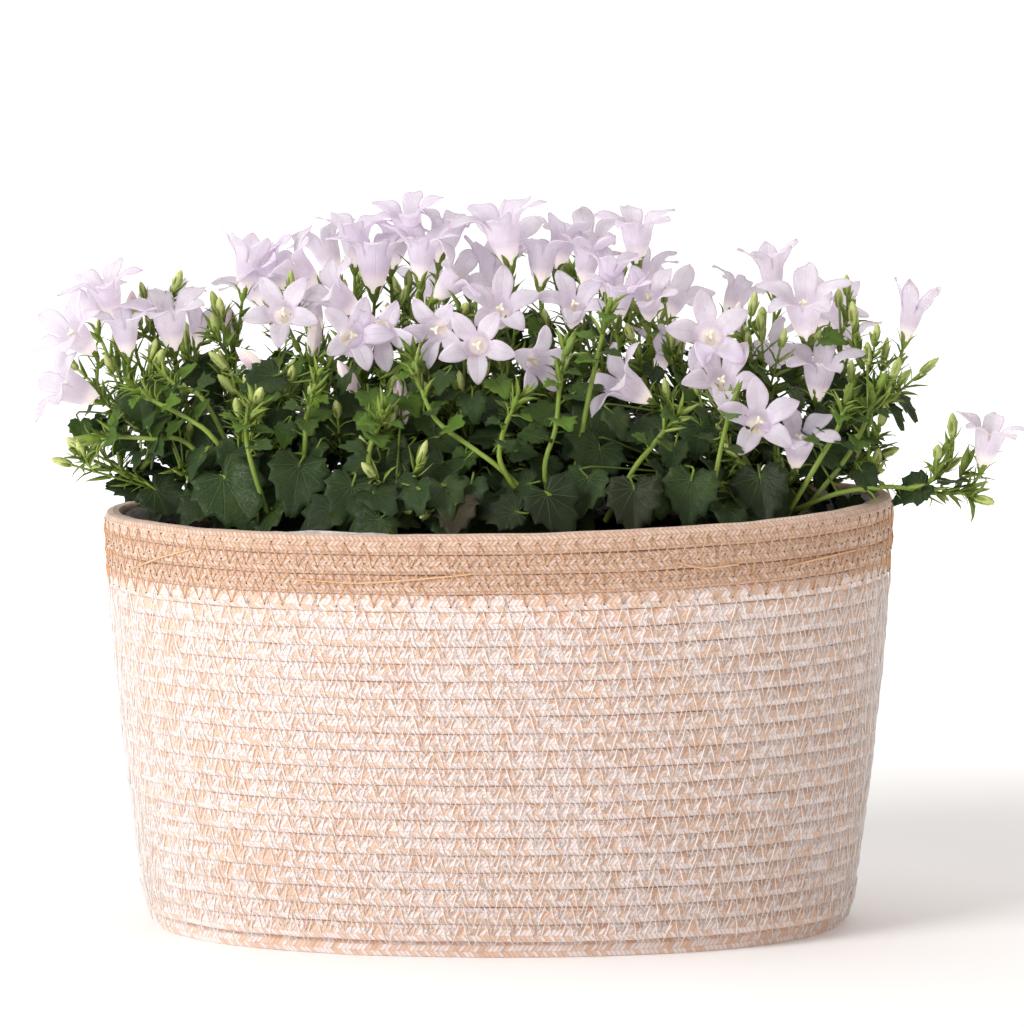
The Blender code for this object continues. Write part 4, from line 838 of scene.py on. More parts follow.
# Geometry Nodes
class Tree(Wiring):
    # A geometry tree with named inputs; every tree has one for its material
    def __init__(self, name, inputs):
        self.nodeTree = bpy.data.node_groups.new(name, "GeometryNodeTree")
        new = self.nodeTree.interface.new_socket
        new("Geometry", in_out="INPUT", socket_type="NodeSocketGeometry")
        self.sockets = {}
        for label, kind, value in [*inputs, ("Material", "Material", None)]:
            socket = new(label, in_out="INPUT", socket_type="NodeSocket" + kind)
            if value is not None:
                socket.default_value = value
            self.sockets[label] = socket.identifier
        new("Geometry", in_out="OUTPUT", socket_type="NodeSocketGeometry")
        self.given = self.nodeTree.nodes.new("NodeGroupInput").outputs
        self.end = self.nodeTree.nodes.new("NodeGroupOutput")

    def vector(self, operation, first, second):
        return self.put("ShaderNodeVectorMath", {0: first, 1: second}, operation=operation)

    def scaled(self, vector, factor):
        return self.put("ShaderNodeVectorMath", {0: vector, "Scale": factor}, operation="SCALE")

    def attribute(self, name, kind="FLOAT"):
        return self.put("GeometryNodeInputNamedAttribute", {"Name": name}, "Attribute", data_type=kind)

    def evenCurve(self):
        # The given lines as curves, with as many points as Count says
        curve = self.put("GeometryNodeMeshToCurve", {"Mesh": self.given["Geometry"]})
        return self.put("GeometryNodeResampleCurve", {"Curve": curve, "Count": self.given["Count"]},
                        mode="COUNT")

    def tube(self, curve, sides, scale, caps):
        ring = self.put("GeometryNodeCurvePrimitiveCircle", {"Resolution": sides, "Radius": 1.0})
        return self.put("GeometryNodeCurveToMesh", {"Curve": curve, "Profile Curve": ring, "Scale": scale,
                                                    "Fill Caps": caps})

    def close(self, geometry):
        real = self.put("GeometryNodeRealizeInstances", {"Geometry": geometry})
        dressed = self.put("GeometryNodeSetMaterial", {"Geometry": real, "Material": self.given["Material"]})
        self.nodeTree.links.new(dressed, self.end.inputs[0])
        return self


def grownMesh(base, tree, name, values):
    # Runs a tree on a mesh and returns the plain mesh that it gives
    carrier = placed(name + " base", base)
    grower = carrier.modifiers.new("grower", "NODES")
    grower.node_group = tree.nodeTree
    for label, value in values.items():
        grower[tree.sockets[label]] = value
    carrier.update_tag()
    return bakedMesh(carrier, name)


def growPiece(name, base, tree, values, material, slot, nodes=()):
    mesh = grownMesh(base, tree, name, {**values, "Material": material})
    return placePiece(name, mesh, material, slot, nodes)


def lineMesh(name, lines):
    # Polylines as edges, with a thickness and a tint for each point
    mesh = bpy.data.meshes.new(name)
    points, edges, widths, tints = [], [], [], []
    for path, radii, tint in lines:
        edges += [(len(points) + step, len(points) + step + 1) for step in range(len(path) - 1)]
        points += [tuple(point) for point in path]
        widths += list(radii)
        tints += [tint] * len(path)
    mesh.from_pydata(points, edges, [])
    pointValues(mesh, "width", "FLOAT", widths)
    pointValues(mesh, "tint", "FLOAT", tints)
    return mesh


def tubeTree():
    # Round stems and threads along every polyline
    tree = Tree("Tubes", [("Sides", "Int", 6)])
    curve = tree.put("GeometryNodeMeshToCurve", {"Mesh": tree.given["Geometry"]})
    return tree.close(tree.tube(curve, tree.given["Sides"], tree.attribute("width"), True))


def smoothPath(points, steps):
    # A soft line through the points
    if len(points) == 2:
        return [points[0].lerp(points[1], step / steps) for step in range(steps + 1)]
    ends = [points[0] * 2 - points[1], *points, points[-1] * 2 - points[-2]]
    path = []
    for before, first, second, after in zip(ends, ends[1:], ends[2:], ends[3:]):
        for step in range(steps):
            t = step / steps
            bend = 2 * before - 5 * first + 4 * second - after
            swing = 3 * first - before - 3 * second + after
            path.append(0.5 * (2 * first + (second - before) * t + bend * t * t + swing * t ** 3))
    return path + [points[-1]]


# Materials
def fromScreen(red, green, blue):
    def linear(value):
        value /= 255.0
        return value / 12.92 if value <= 0.04045 else ((value + 0.055) / 1.055) ** 2.4
    return (linear(red), linear(green), linear(blue), 1.0)


class Finish(Wiring):
    # A material; colours are given as on a screen, from 0 to 255
    def __init__(self, name, **values):
        self.material = bpy.data.materials.new(name)
        self.material.use_nodes = True
        self.nodeTree = self.material.node_tree
        self.shader = self.nodeTree.nodes["Principled BSDF"]
        for label, value in values.items():
            self.feed(label.replace("_", " "), value)

    def feed(self, label, source):
        self.link(source, self.shader.inputs[label])

    def place(self, name="Object"):
        return self.put("ShaderNodeTexCoord", out=name)

    def axes(self, vector):
        return self.put("ShaderNodeSeparateXYZ", {0: vector}).node.outputs

    def tint(self):
        return self.put("ShaderNodeAttribute", {}, "Fac", attribute_name="tint")

    def noise(self, scale, detail=3.0, vector=None, roughness=0.5):
        return self.put("ShaderNodeTexNoise", {"Vector": vector or self.place(), "Scale": scale,
                                               "Detail": detail, "Roughness": roughness})

    def share(self, value, fromLow, fromHigh, toLow=0.0, toHigh=1.0):
        limits = {"From Min": fromLow, "From Max": fromHigh, "To Min": toLow, "To Max": toHigh}
        return self.put("ShaderNodeMapRange", {"Value": value, **limits}, interpolation_type="SMOOTHSTEP")

    def blend(self, share, *colours):
        first, second = [fromScreen(*colour) if isinstance(colour, tuple) else colour for colour in colours]
        return self.put("ShaderNodeMix", {0: share, 6: first, 7: second}, 2, data_type="RGBA")

    def ramp(self, value, low, high, fromLow, fromHigh):
        # A soft change from one colour to another between two values
        return self.blend(self.share(value, fromLow, fromHigh), low, high)

    def close(self, colour, height, depth, strength=1.0):
        self.feed("Base Color", colour)
        bump = {"Height": height, "Distance": depth, "Strength": strength}
        self.feed("Normal", self.put("ShaderNodeBump", bump))
        return self.material


# The rope basket
ropeSizes = {"around": 256, "sides": 12, "half": 0.00425, "squareness": 3.3, "overlap": 0.00025,
             "braidPitch": 0.0022, "strandRow": 0.0027, "wobble": 0.0003, "baseCoils": 11,
             "basePitch": 0.0083}


def signedPower(values, power):
    return np.sign(values) * np.abs(values) ** power


def runningSum(steps):
    return np.concatenate(([0.0], np.cumsum(steps)))


def ovalArray(angles, inset, height):
    # The oval of the basket for whole arrays of angles
    power = 2.0 / ovalPower
    cosine, sine = np.cos(angles), np.sin(angles)
    across = signedPower(cosine, power) * (rimHalfLength - inset)
    depth = signedPower(sine, power) * (rimHalfDepth - inset)
    rise = rightRise * cosine - frontDip * sine ** 2
    return np.stack((across, depth, height + rise * (height / basketHeight) ** 2), -1)


def evenAngles(count, height=0.12):
    # Angles that step evenly along the oval
    fine = np.linspace(0.0, 2.0 * pi, 4001)
    line = ovalArray(fine, wallInset(height), height)
    run = runningSum(np.linalg.norm(np.diff(line, axis=0), axis=1))
    return np.interp(np.linspace(0.0, run[-1], count + 1)[:-1], run, fine), run[-1]


def addCoil(pile, angles, height, inset, half, rand):
    # One turn of rope: a full, rather square round that touches the turns above and below it
    sides, pitch, strandRow = ropeSizes["sides"], ropeSizes["braidPitch"], ropeSizes["strandRow"]
    turn = np.linspace(0.0, 2.0 * pi, sides + 1)[:-1] + pi / sides
    power = 2.0 / ropeSizes["squareness"]
    out = signedPower(np.cos(turn), power) * ropeSizes["half"]
    up = signedPower(np.sin(turn), power) * half
    swell, drift = np.zeros(len(angles)), np.zeros(len(angles))
    for wave in (3, 5, 8, 13, 21, 34):
        swell += np.sin(angles * wave + rand.uniform(0, 6.3)) * ropeSizes["wobble"] / 3
        drift += np.sin(angles * wave + rand.uniform(0, 6.3)) * ropeSizes["wobble"] / 4
    points = np.stack([ovalArray(angles, inset + ropeSizes["half"] - outward + np.abs(swell),
                                 height + upward + drift) for outward, upward in zip(out, up)], 1)
    # The map runs along the rope and round it in metres, stretched to whole braids
    run = runningSum(np.linalg.norm(np.roll(points[:, 0], -1, 0) - points[:, 0], axis=1))
    us = run * round(run[-1] / pitch) * pitch / run[-1] + rand.randrange(40) * 0.35 * pitch
    girth = runningSum(np.hypot(np.diff(np.append(out, out[0])), np.diff(np.append(up, up[0]))))
    vs = girth * round(girth[-1] / strandRow / 2) * 2 * strandRow / girth[-1]
    pile.grid(points, us, vs, closeRows=True, closeColumns=True)


def ropeFinish(name, light, dark, darkShare, darkFleckAndShade):
    # Braided yarns in slanting rows that meet in chevrons
    finish = Finish(name, Roughness=0.9, Sheen_Weight=0.25, Sheen_Roughness=0.6, Specular_IOR_Level=0.2,
                    Subsurface_Weight=0.5, Subsurface_Scale=0.002, Subsurface_Radius=(1.0, 0.8, 0.7))
    along, across, _ = finish.axes(finish.place("UV"))
    rowPlace = finish.maths("DIVIDE", across, ropeSizes["strandRow"])
    slant = finish.maths("PINGPONG", rowPlace, 1.0)
    strand = finish.maths("ADD", finish.maths("DIVIDE", along, ropeSizes["braidPitch"]), slant)
    ridge, crown = [finish.maths("SINE", finish.times(finish.maths("FRACT", place), pi))
                    for place in (strand, rowPlace)]
    relief = finish.times(finish.maths("POWER", ridge, 0.6), finish.maths("POWER", crown, 0.35))
    number, row = [finish.maths("FLOOR", place) for place in (strand, rowPlace)]
    pair = finish.put("ShaderNodeCombineXYZ", {0: number, 1: row})
    chance = finish.put("ShaderNodeTexWhiteNoise", {"Vector": pair}, noise_dimensions="2D")
    limit = finish.share(finish.noise(38.0, 2.0), 0.3, 0.7, darkShare - 0.09, darkShare + 0.09)
    fibre = finish.noise(2600.0, 3.0)
    yarn = finish.blend(finish.maths("LESS_THAN", chance, limit), light, dark)
    # The last colour speckles some fibres and darkens the hollows of the braid between strands and rows; the
    # darkening in the hollows is painted shade
    yarn = finish.blend(finish.share(fibre, 0.3, 0.75, 0.0, 0.22), yarn, darkFleckAndShade)
    yarn = finish.blend(finish.share(relief, 0.2, 0.75, 0.6, 0.0), yarn, darkFleckAndShade)
    return finish.close(yarn, finish.maths("ADD", relief, finish.times(fibre, 0.25)), 0.0006, 0.65)


def makeBasket():
    rand = random.Random(3)
    angles, _ = evenAngles(ropeSizes["around"])
    pitch, overlap = bandFoot / bodyCoils, ropeSizes["overlap"]
    body, band = Pile(), Pile()
    for coil in range(bodyCoils):
        height = (coil + 0.5) * pitch
        addCoil(body, angles, height, wallInset(height) + footRounding(height), pitch / 2 + overlap, rand)
    edge = wallInset(0.0) + footRounding(pitch / 2)
    for coil in range(1, ropeSizes["baseCoils"] + 1):
        inset = edge + coil * ropeSizes["basePitch"]
        addCoil(body, angles[::2], ropeSizes["half"], inset, ropeSizes["half"], rand)
    for coil in range(bandCoils):
        height = bandFoot + (coil + 0.5) * bandPitch
        addCoil(band, angles, height, wallInset(height), bandPitch / 2 + overlap, rand)
    # Each rope's last colour is its fleck colour and the painted shade in its braid hollows
    mixed = ropeFinish("Melange rope", (247, 238, 237), (234, 205, 185), 0.42, (221, 184, 159))
    tan = ropeFinish("Tan rope", (230, 205, 188), (219, 189, 167), 0.5, (172, 126, 94))
    placePiece("ropeBody", body.mesh("ropeBody"), mixed, "rope_mix", ["basket_body"])
    placePiece("ropeBand", band.mesh("ropeBand"), tan, "rope_tan", ["basket_rim_band"])
    print("Basket: rope coils", body.count, "and", band.count, "points")


# Sewing; the colours are those of the thread and of the painted shade in its hollows; the needle holes'
# colours are painted shade inside the holes
stitchSizes = {"whitePitch": 0.0104, "whiteRadius": 0.00031, "whiteSpan": 1.08, "tanPitch": 0.0083,
               "tanRadius": 0.00033, "tanSpan": 0.58, "proud": 0.00026, "dive": 0.00046, "jitter": 0.0005,
               "holeSize": 0.00044, "looseRadius": 0.00035, "seamPoints": 200, "swingPoints": 4}
threadColours = {"White thread": ((253, 249, 248), (243, 230, 222)),
                 "Tan thread": ((216, 168, 126), (196, 146, 104)),
                 "Loose thread": ((236, 190, 144), (216, 162, 114)),
                 "Needle hole": ((124, 84, 56), (96, 62, 40))}


def unitRows(rows):
    return rows / np.linalg.norm(rows, axis=1)[:, None]


def seamMesh(places):
    # A closed line at each height, with the way up along the wall and the way out of it
    count = stitchSizes["seamPoints"]
    angles, _ = evenAngles(count)
    points, edges, ups, outs = [], [], [], []
    for height in places:
        line, above, below = [ovalArray(angles, wallInset(level) + footRounding(max(0.0, level)), level)
                              for level in (height, height + 0.004, height - 0.004)]
        ups.append(unitRows(above - below))
        outs.append(unitRows(np.cross(np.roll(line, -1, 0) - np.roll(line, 1, 0), ups[-1])))
        first = len(points)
        points += line.tolist()
        edges += [(first + step, first + (step + 1) % count) for step in range(count)]
    mesh = bpy.data.meshes.new("seams")
    mesh.from_pydata(points, edges, [])
    pointValues(mesh, "up", "FLOAT_VECTOR", np.concatenate(ups).ravel())
    pointValues(mesh, "out", "FLOAT_VECTOR", np.concatenate(outs).ravel())
    return mesh


def zigzagTree():
    # Sewing that swings up and down along each seam, over the turns of rope
    tree = Tree("Zigzag stitches", [
        ("Count", "Int", 444), ("Period", "Int", 4), ("Half Span", "Float", 0.008),
        ("Radius", "Float", 0.0003), ("Proud", "Float", 0.0002), ("Dive", "Float", 0.0003),
        ("Jitter", "Float", 0.0004), ("Seed", "Int", 4)])
    given, index = tree.given, tree.put("GeometryNodeInputIndex")
    swing = tree.maths("COSINE", tree.times(tree.maths("DIVIDE", index, given["Period"]), 2.0 * pi))
    sunk = tree.times(tree.maths("ABSOLUTE", swing), given["Dive"])
    upward = tree.scaled(tree.attribute("up", "FLOAT_VECTOR"), tree.times(swing, given["Half Span"]))
    outward = tree.scaled(tree.attribute("out", "FLOAT_VECTOR"), tree.maths("SUBTRACT", given["Proud"], sunk))
    drift = {"Min": (-1.0, -1.0, -1.0), "Max": (1.0, 1.0, 1.0), "ID": index, "Seed": given["Seed"]}
    slack = tree.put("FunctionNodeRandomValue", drift, data_type="FLOAT_VECTOR")
    shift = tree.vector("ADD", tree.vector("ADD", upward, outward), tree.scaled(slack, given["Jitter"]))
    moved = tree.put("GeometryNodeSetPosition", {"Geometry": tree.evenCurve(), "Offset": shift})
    return tree.close(tree.tube(moved, 4, given["Radius"], False))


def holeTree():
    # Dark dots of painted shade where the needle went in, at both ends of every swing
    tree = Tree("Needle holes", [("Count", "Int", 444), ("Half Span", "Float", 0.005),
                                 ("Size", "Float", 0.0005)])
    swing = tree.maths("COSINE", tree.times(tree.put("GeometryNodeInputIndex"), pi))
    shift = tree.scaled(tree.attribute("up", "FLOAT_VECTOR"), tree.times(swing, tree.given["Half Span"]))
    moved = tree.put("GeometryNodeSetPosition", {"Geometry": tree.evenCurve(), "Offset": shift})
    spots = tree.put("GeometryNodeCurveToPoints", {"Curve": moved}, mode="EVALUATED")
    dot = tree.put("GeometryNodeMeshIcoSphere", {"Radius": tree.given["Size"], "Subdivisions": 1})
    return tree.close(tree.put("GeometryNodeInstanceOnPoints", {"Points": spots, "Instance": dot}))


def threadFinish(name):
    colour, shade = threadColours[name]
    finish = Finish(name, Roughness=0.75, Sheen_Weight=0.3, Subsurface_Weight=0.6,
                    Subsurface_Scale=0.0015, Subsurface_Radius=(1.0, 0.8, 0.7))
    twist = finish.noise(1800.0, 2.0)
    # The shade colour paints shade into the low parts of the twist
    return finish.close(finish.ramp(twist, shade, colour, 0.3, 0.6), twist, 0.0002)


def wallSpot(across, height, proud):
    # The point of the outer wall in front that shows at these readings, a little off the rope
    depth = -11.0
    for _ in range(4):
        spot = seenFrom(across, height, depth)
        inset = wallInset(spot.z)
        share = min(0.9999, abs(spot.x) / (rimHalfLength - inset))
        depth = -(rimHalfDepth - inset) * (1.0 - share ** ovalPower) ** (1.0 / ovalPower) / cm
    out = Vector((spot.x / rimHalfLength ** 2, depth * cm / rimHalfDepth ** 2, 0.0)).normalized()
    return Vector((spot.x, depth * cm, spot.z)) + out * proud


# Ends and middles of the loose threads: across, height, how far off the rope in millimetres
looseThreads = (
    ((-9.2, 15.9, 0.2), (-6.5, 15.75, 0.9), (-4, 15.9, 1.1), (-1.3, 16.15, 0.2)),
    ((-16.9, 16.4, 0.2), (-15.6, 16.9, 0.8), (-14.2, 17.3, 0.2)),
    ((8.2, 16.7, 0.2), (9.4, 16.45, 1), (11, 16.6, 0.2)),
    ((13.2, 16.5, 0.2), (15, 16.95, 1.1), (16.9, 17.4, 0.2)),
)


def makeStitches():
    _, girth = evenAngles(64)
    coilPitch, swingPoints = bandFoot / bodyCoils, stitchSizes["swingPoints"]
    tree = zigzagTree()
    shared = {label: stitchSizes[label.lower()] for label in ("Proud", "Dive", "Jitter")}
    crests = [(coil + 0.5) * coilPitch for coil in range(1, bodyCoils - 1)]
    seams = [bandFoot + coil * bandPitch for coil in range(bandCoils)]
    for kind, places, pitch, seed, slot in (("white", crests, coilPitch, 4, "rope_mix"),
                                            ("tan", seams, bandPitch, 9, "rope_tan")):
        swings, span = round(girth / stitchSizes[kind + "Pitch"]), pitch * stitchSizes[kind + "Span"]
        values = {"Count": swings * swingPoints, "Period": swingPoints, "Half Span": span, "Seed": seed,
                  "Radius": stitchSizes[kind + "Radius"]}
        thread = threadFinish(kind.title() + " thread")
        growPiece(kind + "Stitches", seamMesh(places), tree, {**shared, **values}, thread, slot)
        print("Stitches:", swings, kind, "swings on each seam")
    values = {"Count": swings * 2, "Half Span": span, "Size": stitchSizes["holeSize"]}
    # Painted shade: dark dots stand in for the shade inside the needle holes
    growPiece("needleHoles", seamMesh(seams), holeTree(), values, threadFinish("Needle hole"), "rope_tan")
    lines = []
    for thread in looseThreads:
        path = smoothPath([wallSpot(across, height, proud / 1000) for across, height, proud in thread], 8)
        lines.append((path, [stitchSizes["looseRadius"]] * len(path), 0.0))
    growPiece("looseThreads", lineMesh("loose threads", lines), tubeTree(), {"Sides": 5},
              threadFinish("Loose thread"), "rope_tan")


# Liner and potting soil; the film stands a little over the front of the rim at its peak
fillSizes = {"around": 160, "crumple": 0.0007, "edgeWave": 0.0009, "peakAngle": 4.28, "peakWidth": 0.3,
             "peakRise": 0.0036, "lumps": 0.0016, "mound": 0.0035, "crumbs": 26000.0, "crumbSize": 0.0011}


def filmFinish():
    finish = Finish("Liner film", Roughness=0.32, Specular_IOR_Level=0.5, Coat_Weight=0.1)
    creases = finish.noise(160.0, 5.0, roughness=0.65)
    return finish.close(finish.ramp(creases, (176, 172, 176), (226, 222, 224), 0.3, 0.7), creases, 0.0012)


def makeLiner():
    angles, _ = evenAngles(fillSizes["around"])
    rand = random.Random(8)
    phases = [rand.uniform(0, 6.3) for _ in range(6)]
    crumple = sum(np.sin(angles * wave + phase) for wave, phase in zip((7, 11, 19, 29, 43, 61), phases)) / 3
    middle = wallThickness + gap + linerThickness / 2
    top = basketHeight - linerBelowRim
    peak = np.exp(-((angles - fillSizes["peakAngle"]) / fillSizes["peakWidth"]) ** 2) * fillSizes["peakRise"]
    floor = ovalArray(angles, wallInset(0.0) + middle + 0.004, middle)
    rows = [floor * (share, share, 1.0) for share in (0.3, 0.6, 0.85, 1.0)]
    for height in (0.0092, 0.03, 0.08, 0.13, 0.165, 0.178, 0.186, top):
        share = smoothStep(0.165, top, height)
        drawn = fillSizes["crumple"] * share * (1.0 + crumple) * 0.5
        lift = share * (crumple * fillSizes["edgeWave"] * 0.5 + peak)
        rows.append(ovalArray(angles, wallInset(height) + middle + drawn, height + lift))
    pile = Pile()
    pile.grid(np.stack(rows, 1), closeRows=True)
    mesh = thickened(capEnds(pile.mesh("liner sheet"), 0.02), linerThickness * 0.8, "linerFilm")
    placePiece("linerFilm", mesh, filmFinish(), "liner_film", ["liner"])
    print("Liner: film", len(mesh.polygons), "faces")


def peatFinish():
    finish = Finish("Peat", Roughness=1.0, Specular_IOR_Level=0.1)
    coarse = finish.noise(240.0, 6.0, roughness=0.7)
    fine = finish.noise(1500.0, 4.0, roughness=0.7)
    colour = finish.ramp(coarse, (30, 21, 19), (78, 58, 48), 0.35, 0.68)
    colour = finish.blend(finish.share(fine, 0.6, 0.75, 0.0, 0.5), colour, (112, 86, 66))
    return finish.close(colour, finish.maths("ADD", coarse, finish.times(fine, 0.4)), 0.002)


def crumbTree():
    # Crumbs scattered over the top of the soil, of uneven size and turn
    tree = Tree("Crumbs", [("Density", "Float", 20000.0), ("Size", "Float", 0.001), ("Seed", "Int", 2)])
    upright = tree.put("ShaderNodeSeparateXYZ", {0: tree.put("GeometryNodeInputNormal")}, "Z")
    spots = tree.put("GeometryNodeDistributePointsOnFaces",
                     {"Mesh": tree.given["Geometry"], "Selection": tree.maths("GREATER_THAN", upright, 0.6),
                      "Density": tree.given["Density"], "Seed": tree.given["Seed"]})
    lump = tree.put("GeometryNodeMeshIcoSphere", {"Radius": 1.0, "Subdivisions": 1})
    turn, stretch = [tree.put("FunctionNodeRandomValue", {"Min": low, "Max": high, "Seed": seed},
                              data_type="FLOAT_VECTOR")
                     for low, high, seed in (((0.0, 0.0, 0.0), (6.3, 6.3, 6.3), 5),
                                             ((0.3, 0.3, 0.25), (1.5, 1.2, 0.9), 6))]
    crumbs = tree.put("GeometryNodeInstanceOnPoints", {"Points": spots, "Instance": lump, "Rotation": turn,
                                                       "Scale": tree.scaled(stretch, tree.given["Size"])})
    both = tree.put("GeometryNodeJoinGeometry", {0: crumbs})
    tree.link(tree.given["Geometry"], both.node.inputs[0])
    return tree.close(both)


def makeSoil():
    angles, _ = evenAngles(fillSizes["around"])
    inset = wallThickness + 2 * gap + linerThickness
    rows = [ovalArray(angles, wallInset(height) + inset, height)
            for height in (inset, 0.08, bandFoot, soilLevel - 0.001)]
    edge = ovalArray(angles, wallInset(soilLevel) + inset, soilLevel)
    for share in (0.985, 0.94, 0.88, 0.8, 0.7, 0.58, 0.44, 0.28, 0.12):
        ring = edge * (share, share, 1.0)
        lumps = [noise.fractal(Vector((x * 60, y * 60, 3.0)), 0.8, 2.2, 4) for x, y, _ in ring]
        ring[:, 2] = soilLevel + np.array(lumps) * fillSizes["lumps"] + (1.0 - share) * fillSizes["mound"]
        rows.append(ring)
    pile = Pile()
    pile.grid(np.stack(rows, 1), closeRows=True)
    values = {"Density": fillSizes["crumbs"], "Size": fillSizes["crumbSize"]}
    piece = growPiece("pottingSoil", capEnds(pile.mesh("soil heap")), crumbTree(), values, peatFinish(),
                      "peat", ["soil"])
    print("Soil:", len(piece.data.polygons), "faces")


# Stems, stalks, sepals and buds
stemSizes = {"mainRadius": 0.00125, "tipRadius": 0.00095, "pedicelRadius": 0.00078, "petioleRadius": 0.00055,
             "sepalWidth": 0.00115, "sepalLength": 0.0082, "sides": 6}
sepalForm = ((0.0, 0.0), (0.03, 0.8), (0.3, 1.0), (0.5, 0.86), (0.7, 0.6), (0.88, 0.28), (1.0, 0.0))
bractForm = ((0.0, 0.0), (0.04, 0.75), (0.4, 1.0), (0.75, 0.5), (1.0, 0.0))
# Share of the length and radius, from foot to tip
budForm = ((-0.05, 0.0), (0.05, 0.0014), (0.18, 0.002), (0.4, 0.0023), (0.62, 0.0022), (0.8, 0.0016),
           (0.93, 0.0008), (1.0, 0.0))
spentForm = ((-0.02, 0.0), (0.0, 0.0022), (0.2, 0.0029), (0.45, 0.0033), (0.62, 0.003), (0.78, 0.0021),
             (0.9, 0.0012), (1.0, 0.0))
fifth = 2.0 * pi / 5

# Undergrowth: small leaves, side buds and narrow bracts between the larger parts
growthSizes = {"leaves": 640, "tries": 26000, "leafSpace": 0.0104, "leafSmall": 0.0105, "leafLarge": 0.023,
               "bloomSpace": 0.0135, "stalkReach": 0.05, "buds": 120, "budTries": 900, "budSpace": 0.012,
               "budTop": 0.312, "budFloor": 0.205, "shootLeaves": 5, "shootFoot": 0.0013, "shootTip": 0.001,
               "bracts": 11, "bractLength": 0.0112, "bractWidth": 0.0012}
bladeCurl = 0.13

# Shoots that stand free in front, from foot to tip: across, height and depth as the other readings
frontShoots = (
    ((2.6, 18.4, -6.4), (2.1, 21, -7), (2.6, 22.9, -6.6), (2.8, 25, -5.8), (3.1, 27.2, -5)),
    ((1.9, 18.6, -6.2), (0.2, 21, -7.2), (0.1, 22.3, -7), (0.6, 23.7, -6.4), (1.3, 24.7, -5.8)),
    ((3, 18.2, -6), (0.2, 20.9, -7), (-1.1, 21.9, -6.6), (-2.9, 23.3, -5.8), (-3.7, 25.2, -4.6),
     (-3.9, 26.6, -4)),
    ((4.9, 18.6, -6), (6.2, 21, -6.8), (6.9, 21.9, -6.6), (7.7, 22.9, -6.2), (8.4, 23.7, -5.8)),
    ((3.2, 19, -4.4), (3.9, 23.2, -5.2), (4.4, 25.7, -4.6), (4.8, 27.4, -3.8), (5.1, 28.9, -3.2)),
    ((9.6, 18.6, -5.6), (10.1, 21.5, -6.4), (10.5, 23.3, -5.6), (10.7, 24.2, -4.8)),
    ((-10.6, 18.6, -4.4), (-13, 22.3, -4.8), (-14.4, 23.4, -4.4), (-15.9, 24.2, -4), (-17.2, 25.2, -3.4)),
    ((-11, 19, -3.4), (-13.4, 24, -3.8), (-14.7, 24.8, -3.4), (-15.6, 25.6, -3)),
    ((-12, 19.6, -4), (-14.3, 22.2, -4.2), (-15.9, 22.4, -4.2), (-17.6, 22.5, -3.8), (-18.8, 22.3, -3.4)),
    ((-9, 18.8, -4.8), (-8.9, 22.2, -5.4), (-8.8, 23.6, -5.6), (-8.2, 25.6, -5.4)),
    ((-5.6, 18.8, -6.6), (-6, 21.4, -7.2), (-5.6, 22.8, -6.8), (-5.2, 23.8, -6.4)),
    ((-10.6, 18.8, -6), (-11.4, 21.4, -6.8), (-11.6, 22.8, -6.2), (-11.3, 24, -5.6)),
    ((13.2, 18.8, -5.2), (14.7, 21.4, -5.6), (15.6, 23, -4.8), (16, 24.8, -4)),
    ((13.8, 18.8, -4.2), (16, 21.6, -4.2), (17, 23.6, -3.4), (17.6, 25.4, -2.8)),
)


def notchSpot(centre, ahead, normal, length):
    # Where a blade's stalk meets it
    notch = leafNotch[0]
    return centre + (ahead * (notch - 0.4) - normal * (bladeCurl * notch ** 2)) * length


def stalkCurves(garden):
    return [curve for curve, *_ in garden.calyces + garden.budsGrown if curve is not None]


def cupSpots(garden, *reaches):
    # Places inside the bells that nothing may grow into
    return [foot + aim * reach * size for foot, aim, size, *_ in garden.blooms for reach in reaches]


def straySpan(rand):
    return Vector([rand.uniform(-1, 1) for _ in range(3)])


def growShoots(garden):
    # Thick pale shoots with small bright leaves up their sides
    rand = random.Random(71)
    shoots = [[seenFrom(*point) for point in points] for points in frontShoots]
    for path in shoots:
        line, turn = smoothPath(path, 6), rand.uniform(0, 6.3)
        for step in range(growthSizes["shootLeaves"]):
            share = 0.42 + 0.5 * step / growthSizes["shootLeaves"]
            index = int(share * (len(line) - 1))
            rise = (line[index + 1] - line[index]).normalized()
            out = (spanAxes(rise, turn + step * 2.4)[0] + Vector((0, -0.5, 0))).normalized()
            length = rand.uniform(0.008, 0.0135) * (1.2 - 0.5 * share)
            normal = (rise * 0.7 + Vector((0, -0.6, 0.3)) - out * 0.2).normalized()
            ahead = squareTo(out, normal)
            centre = line[index] + out * rand.uniform(0.006, 0.01) + rise * 0.002
            route = leafRoute(line[index], notchSpot(centre, ahead, normal, length), ahead)
            garden.fillers.append((route, centre, ahead, normal, length, 0.2))
    print("Undergrowth:", len(shoots), "shoots")
    return shoots


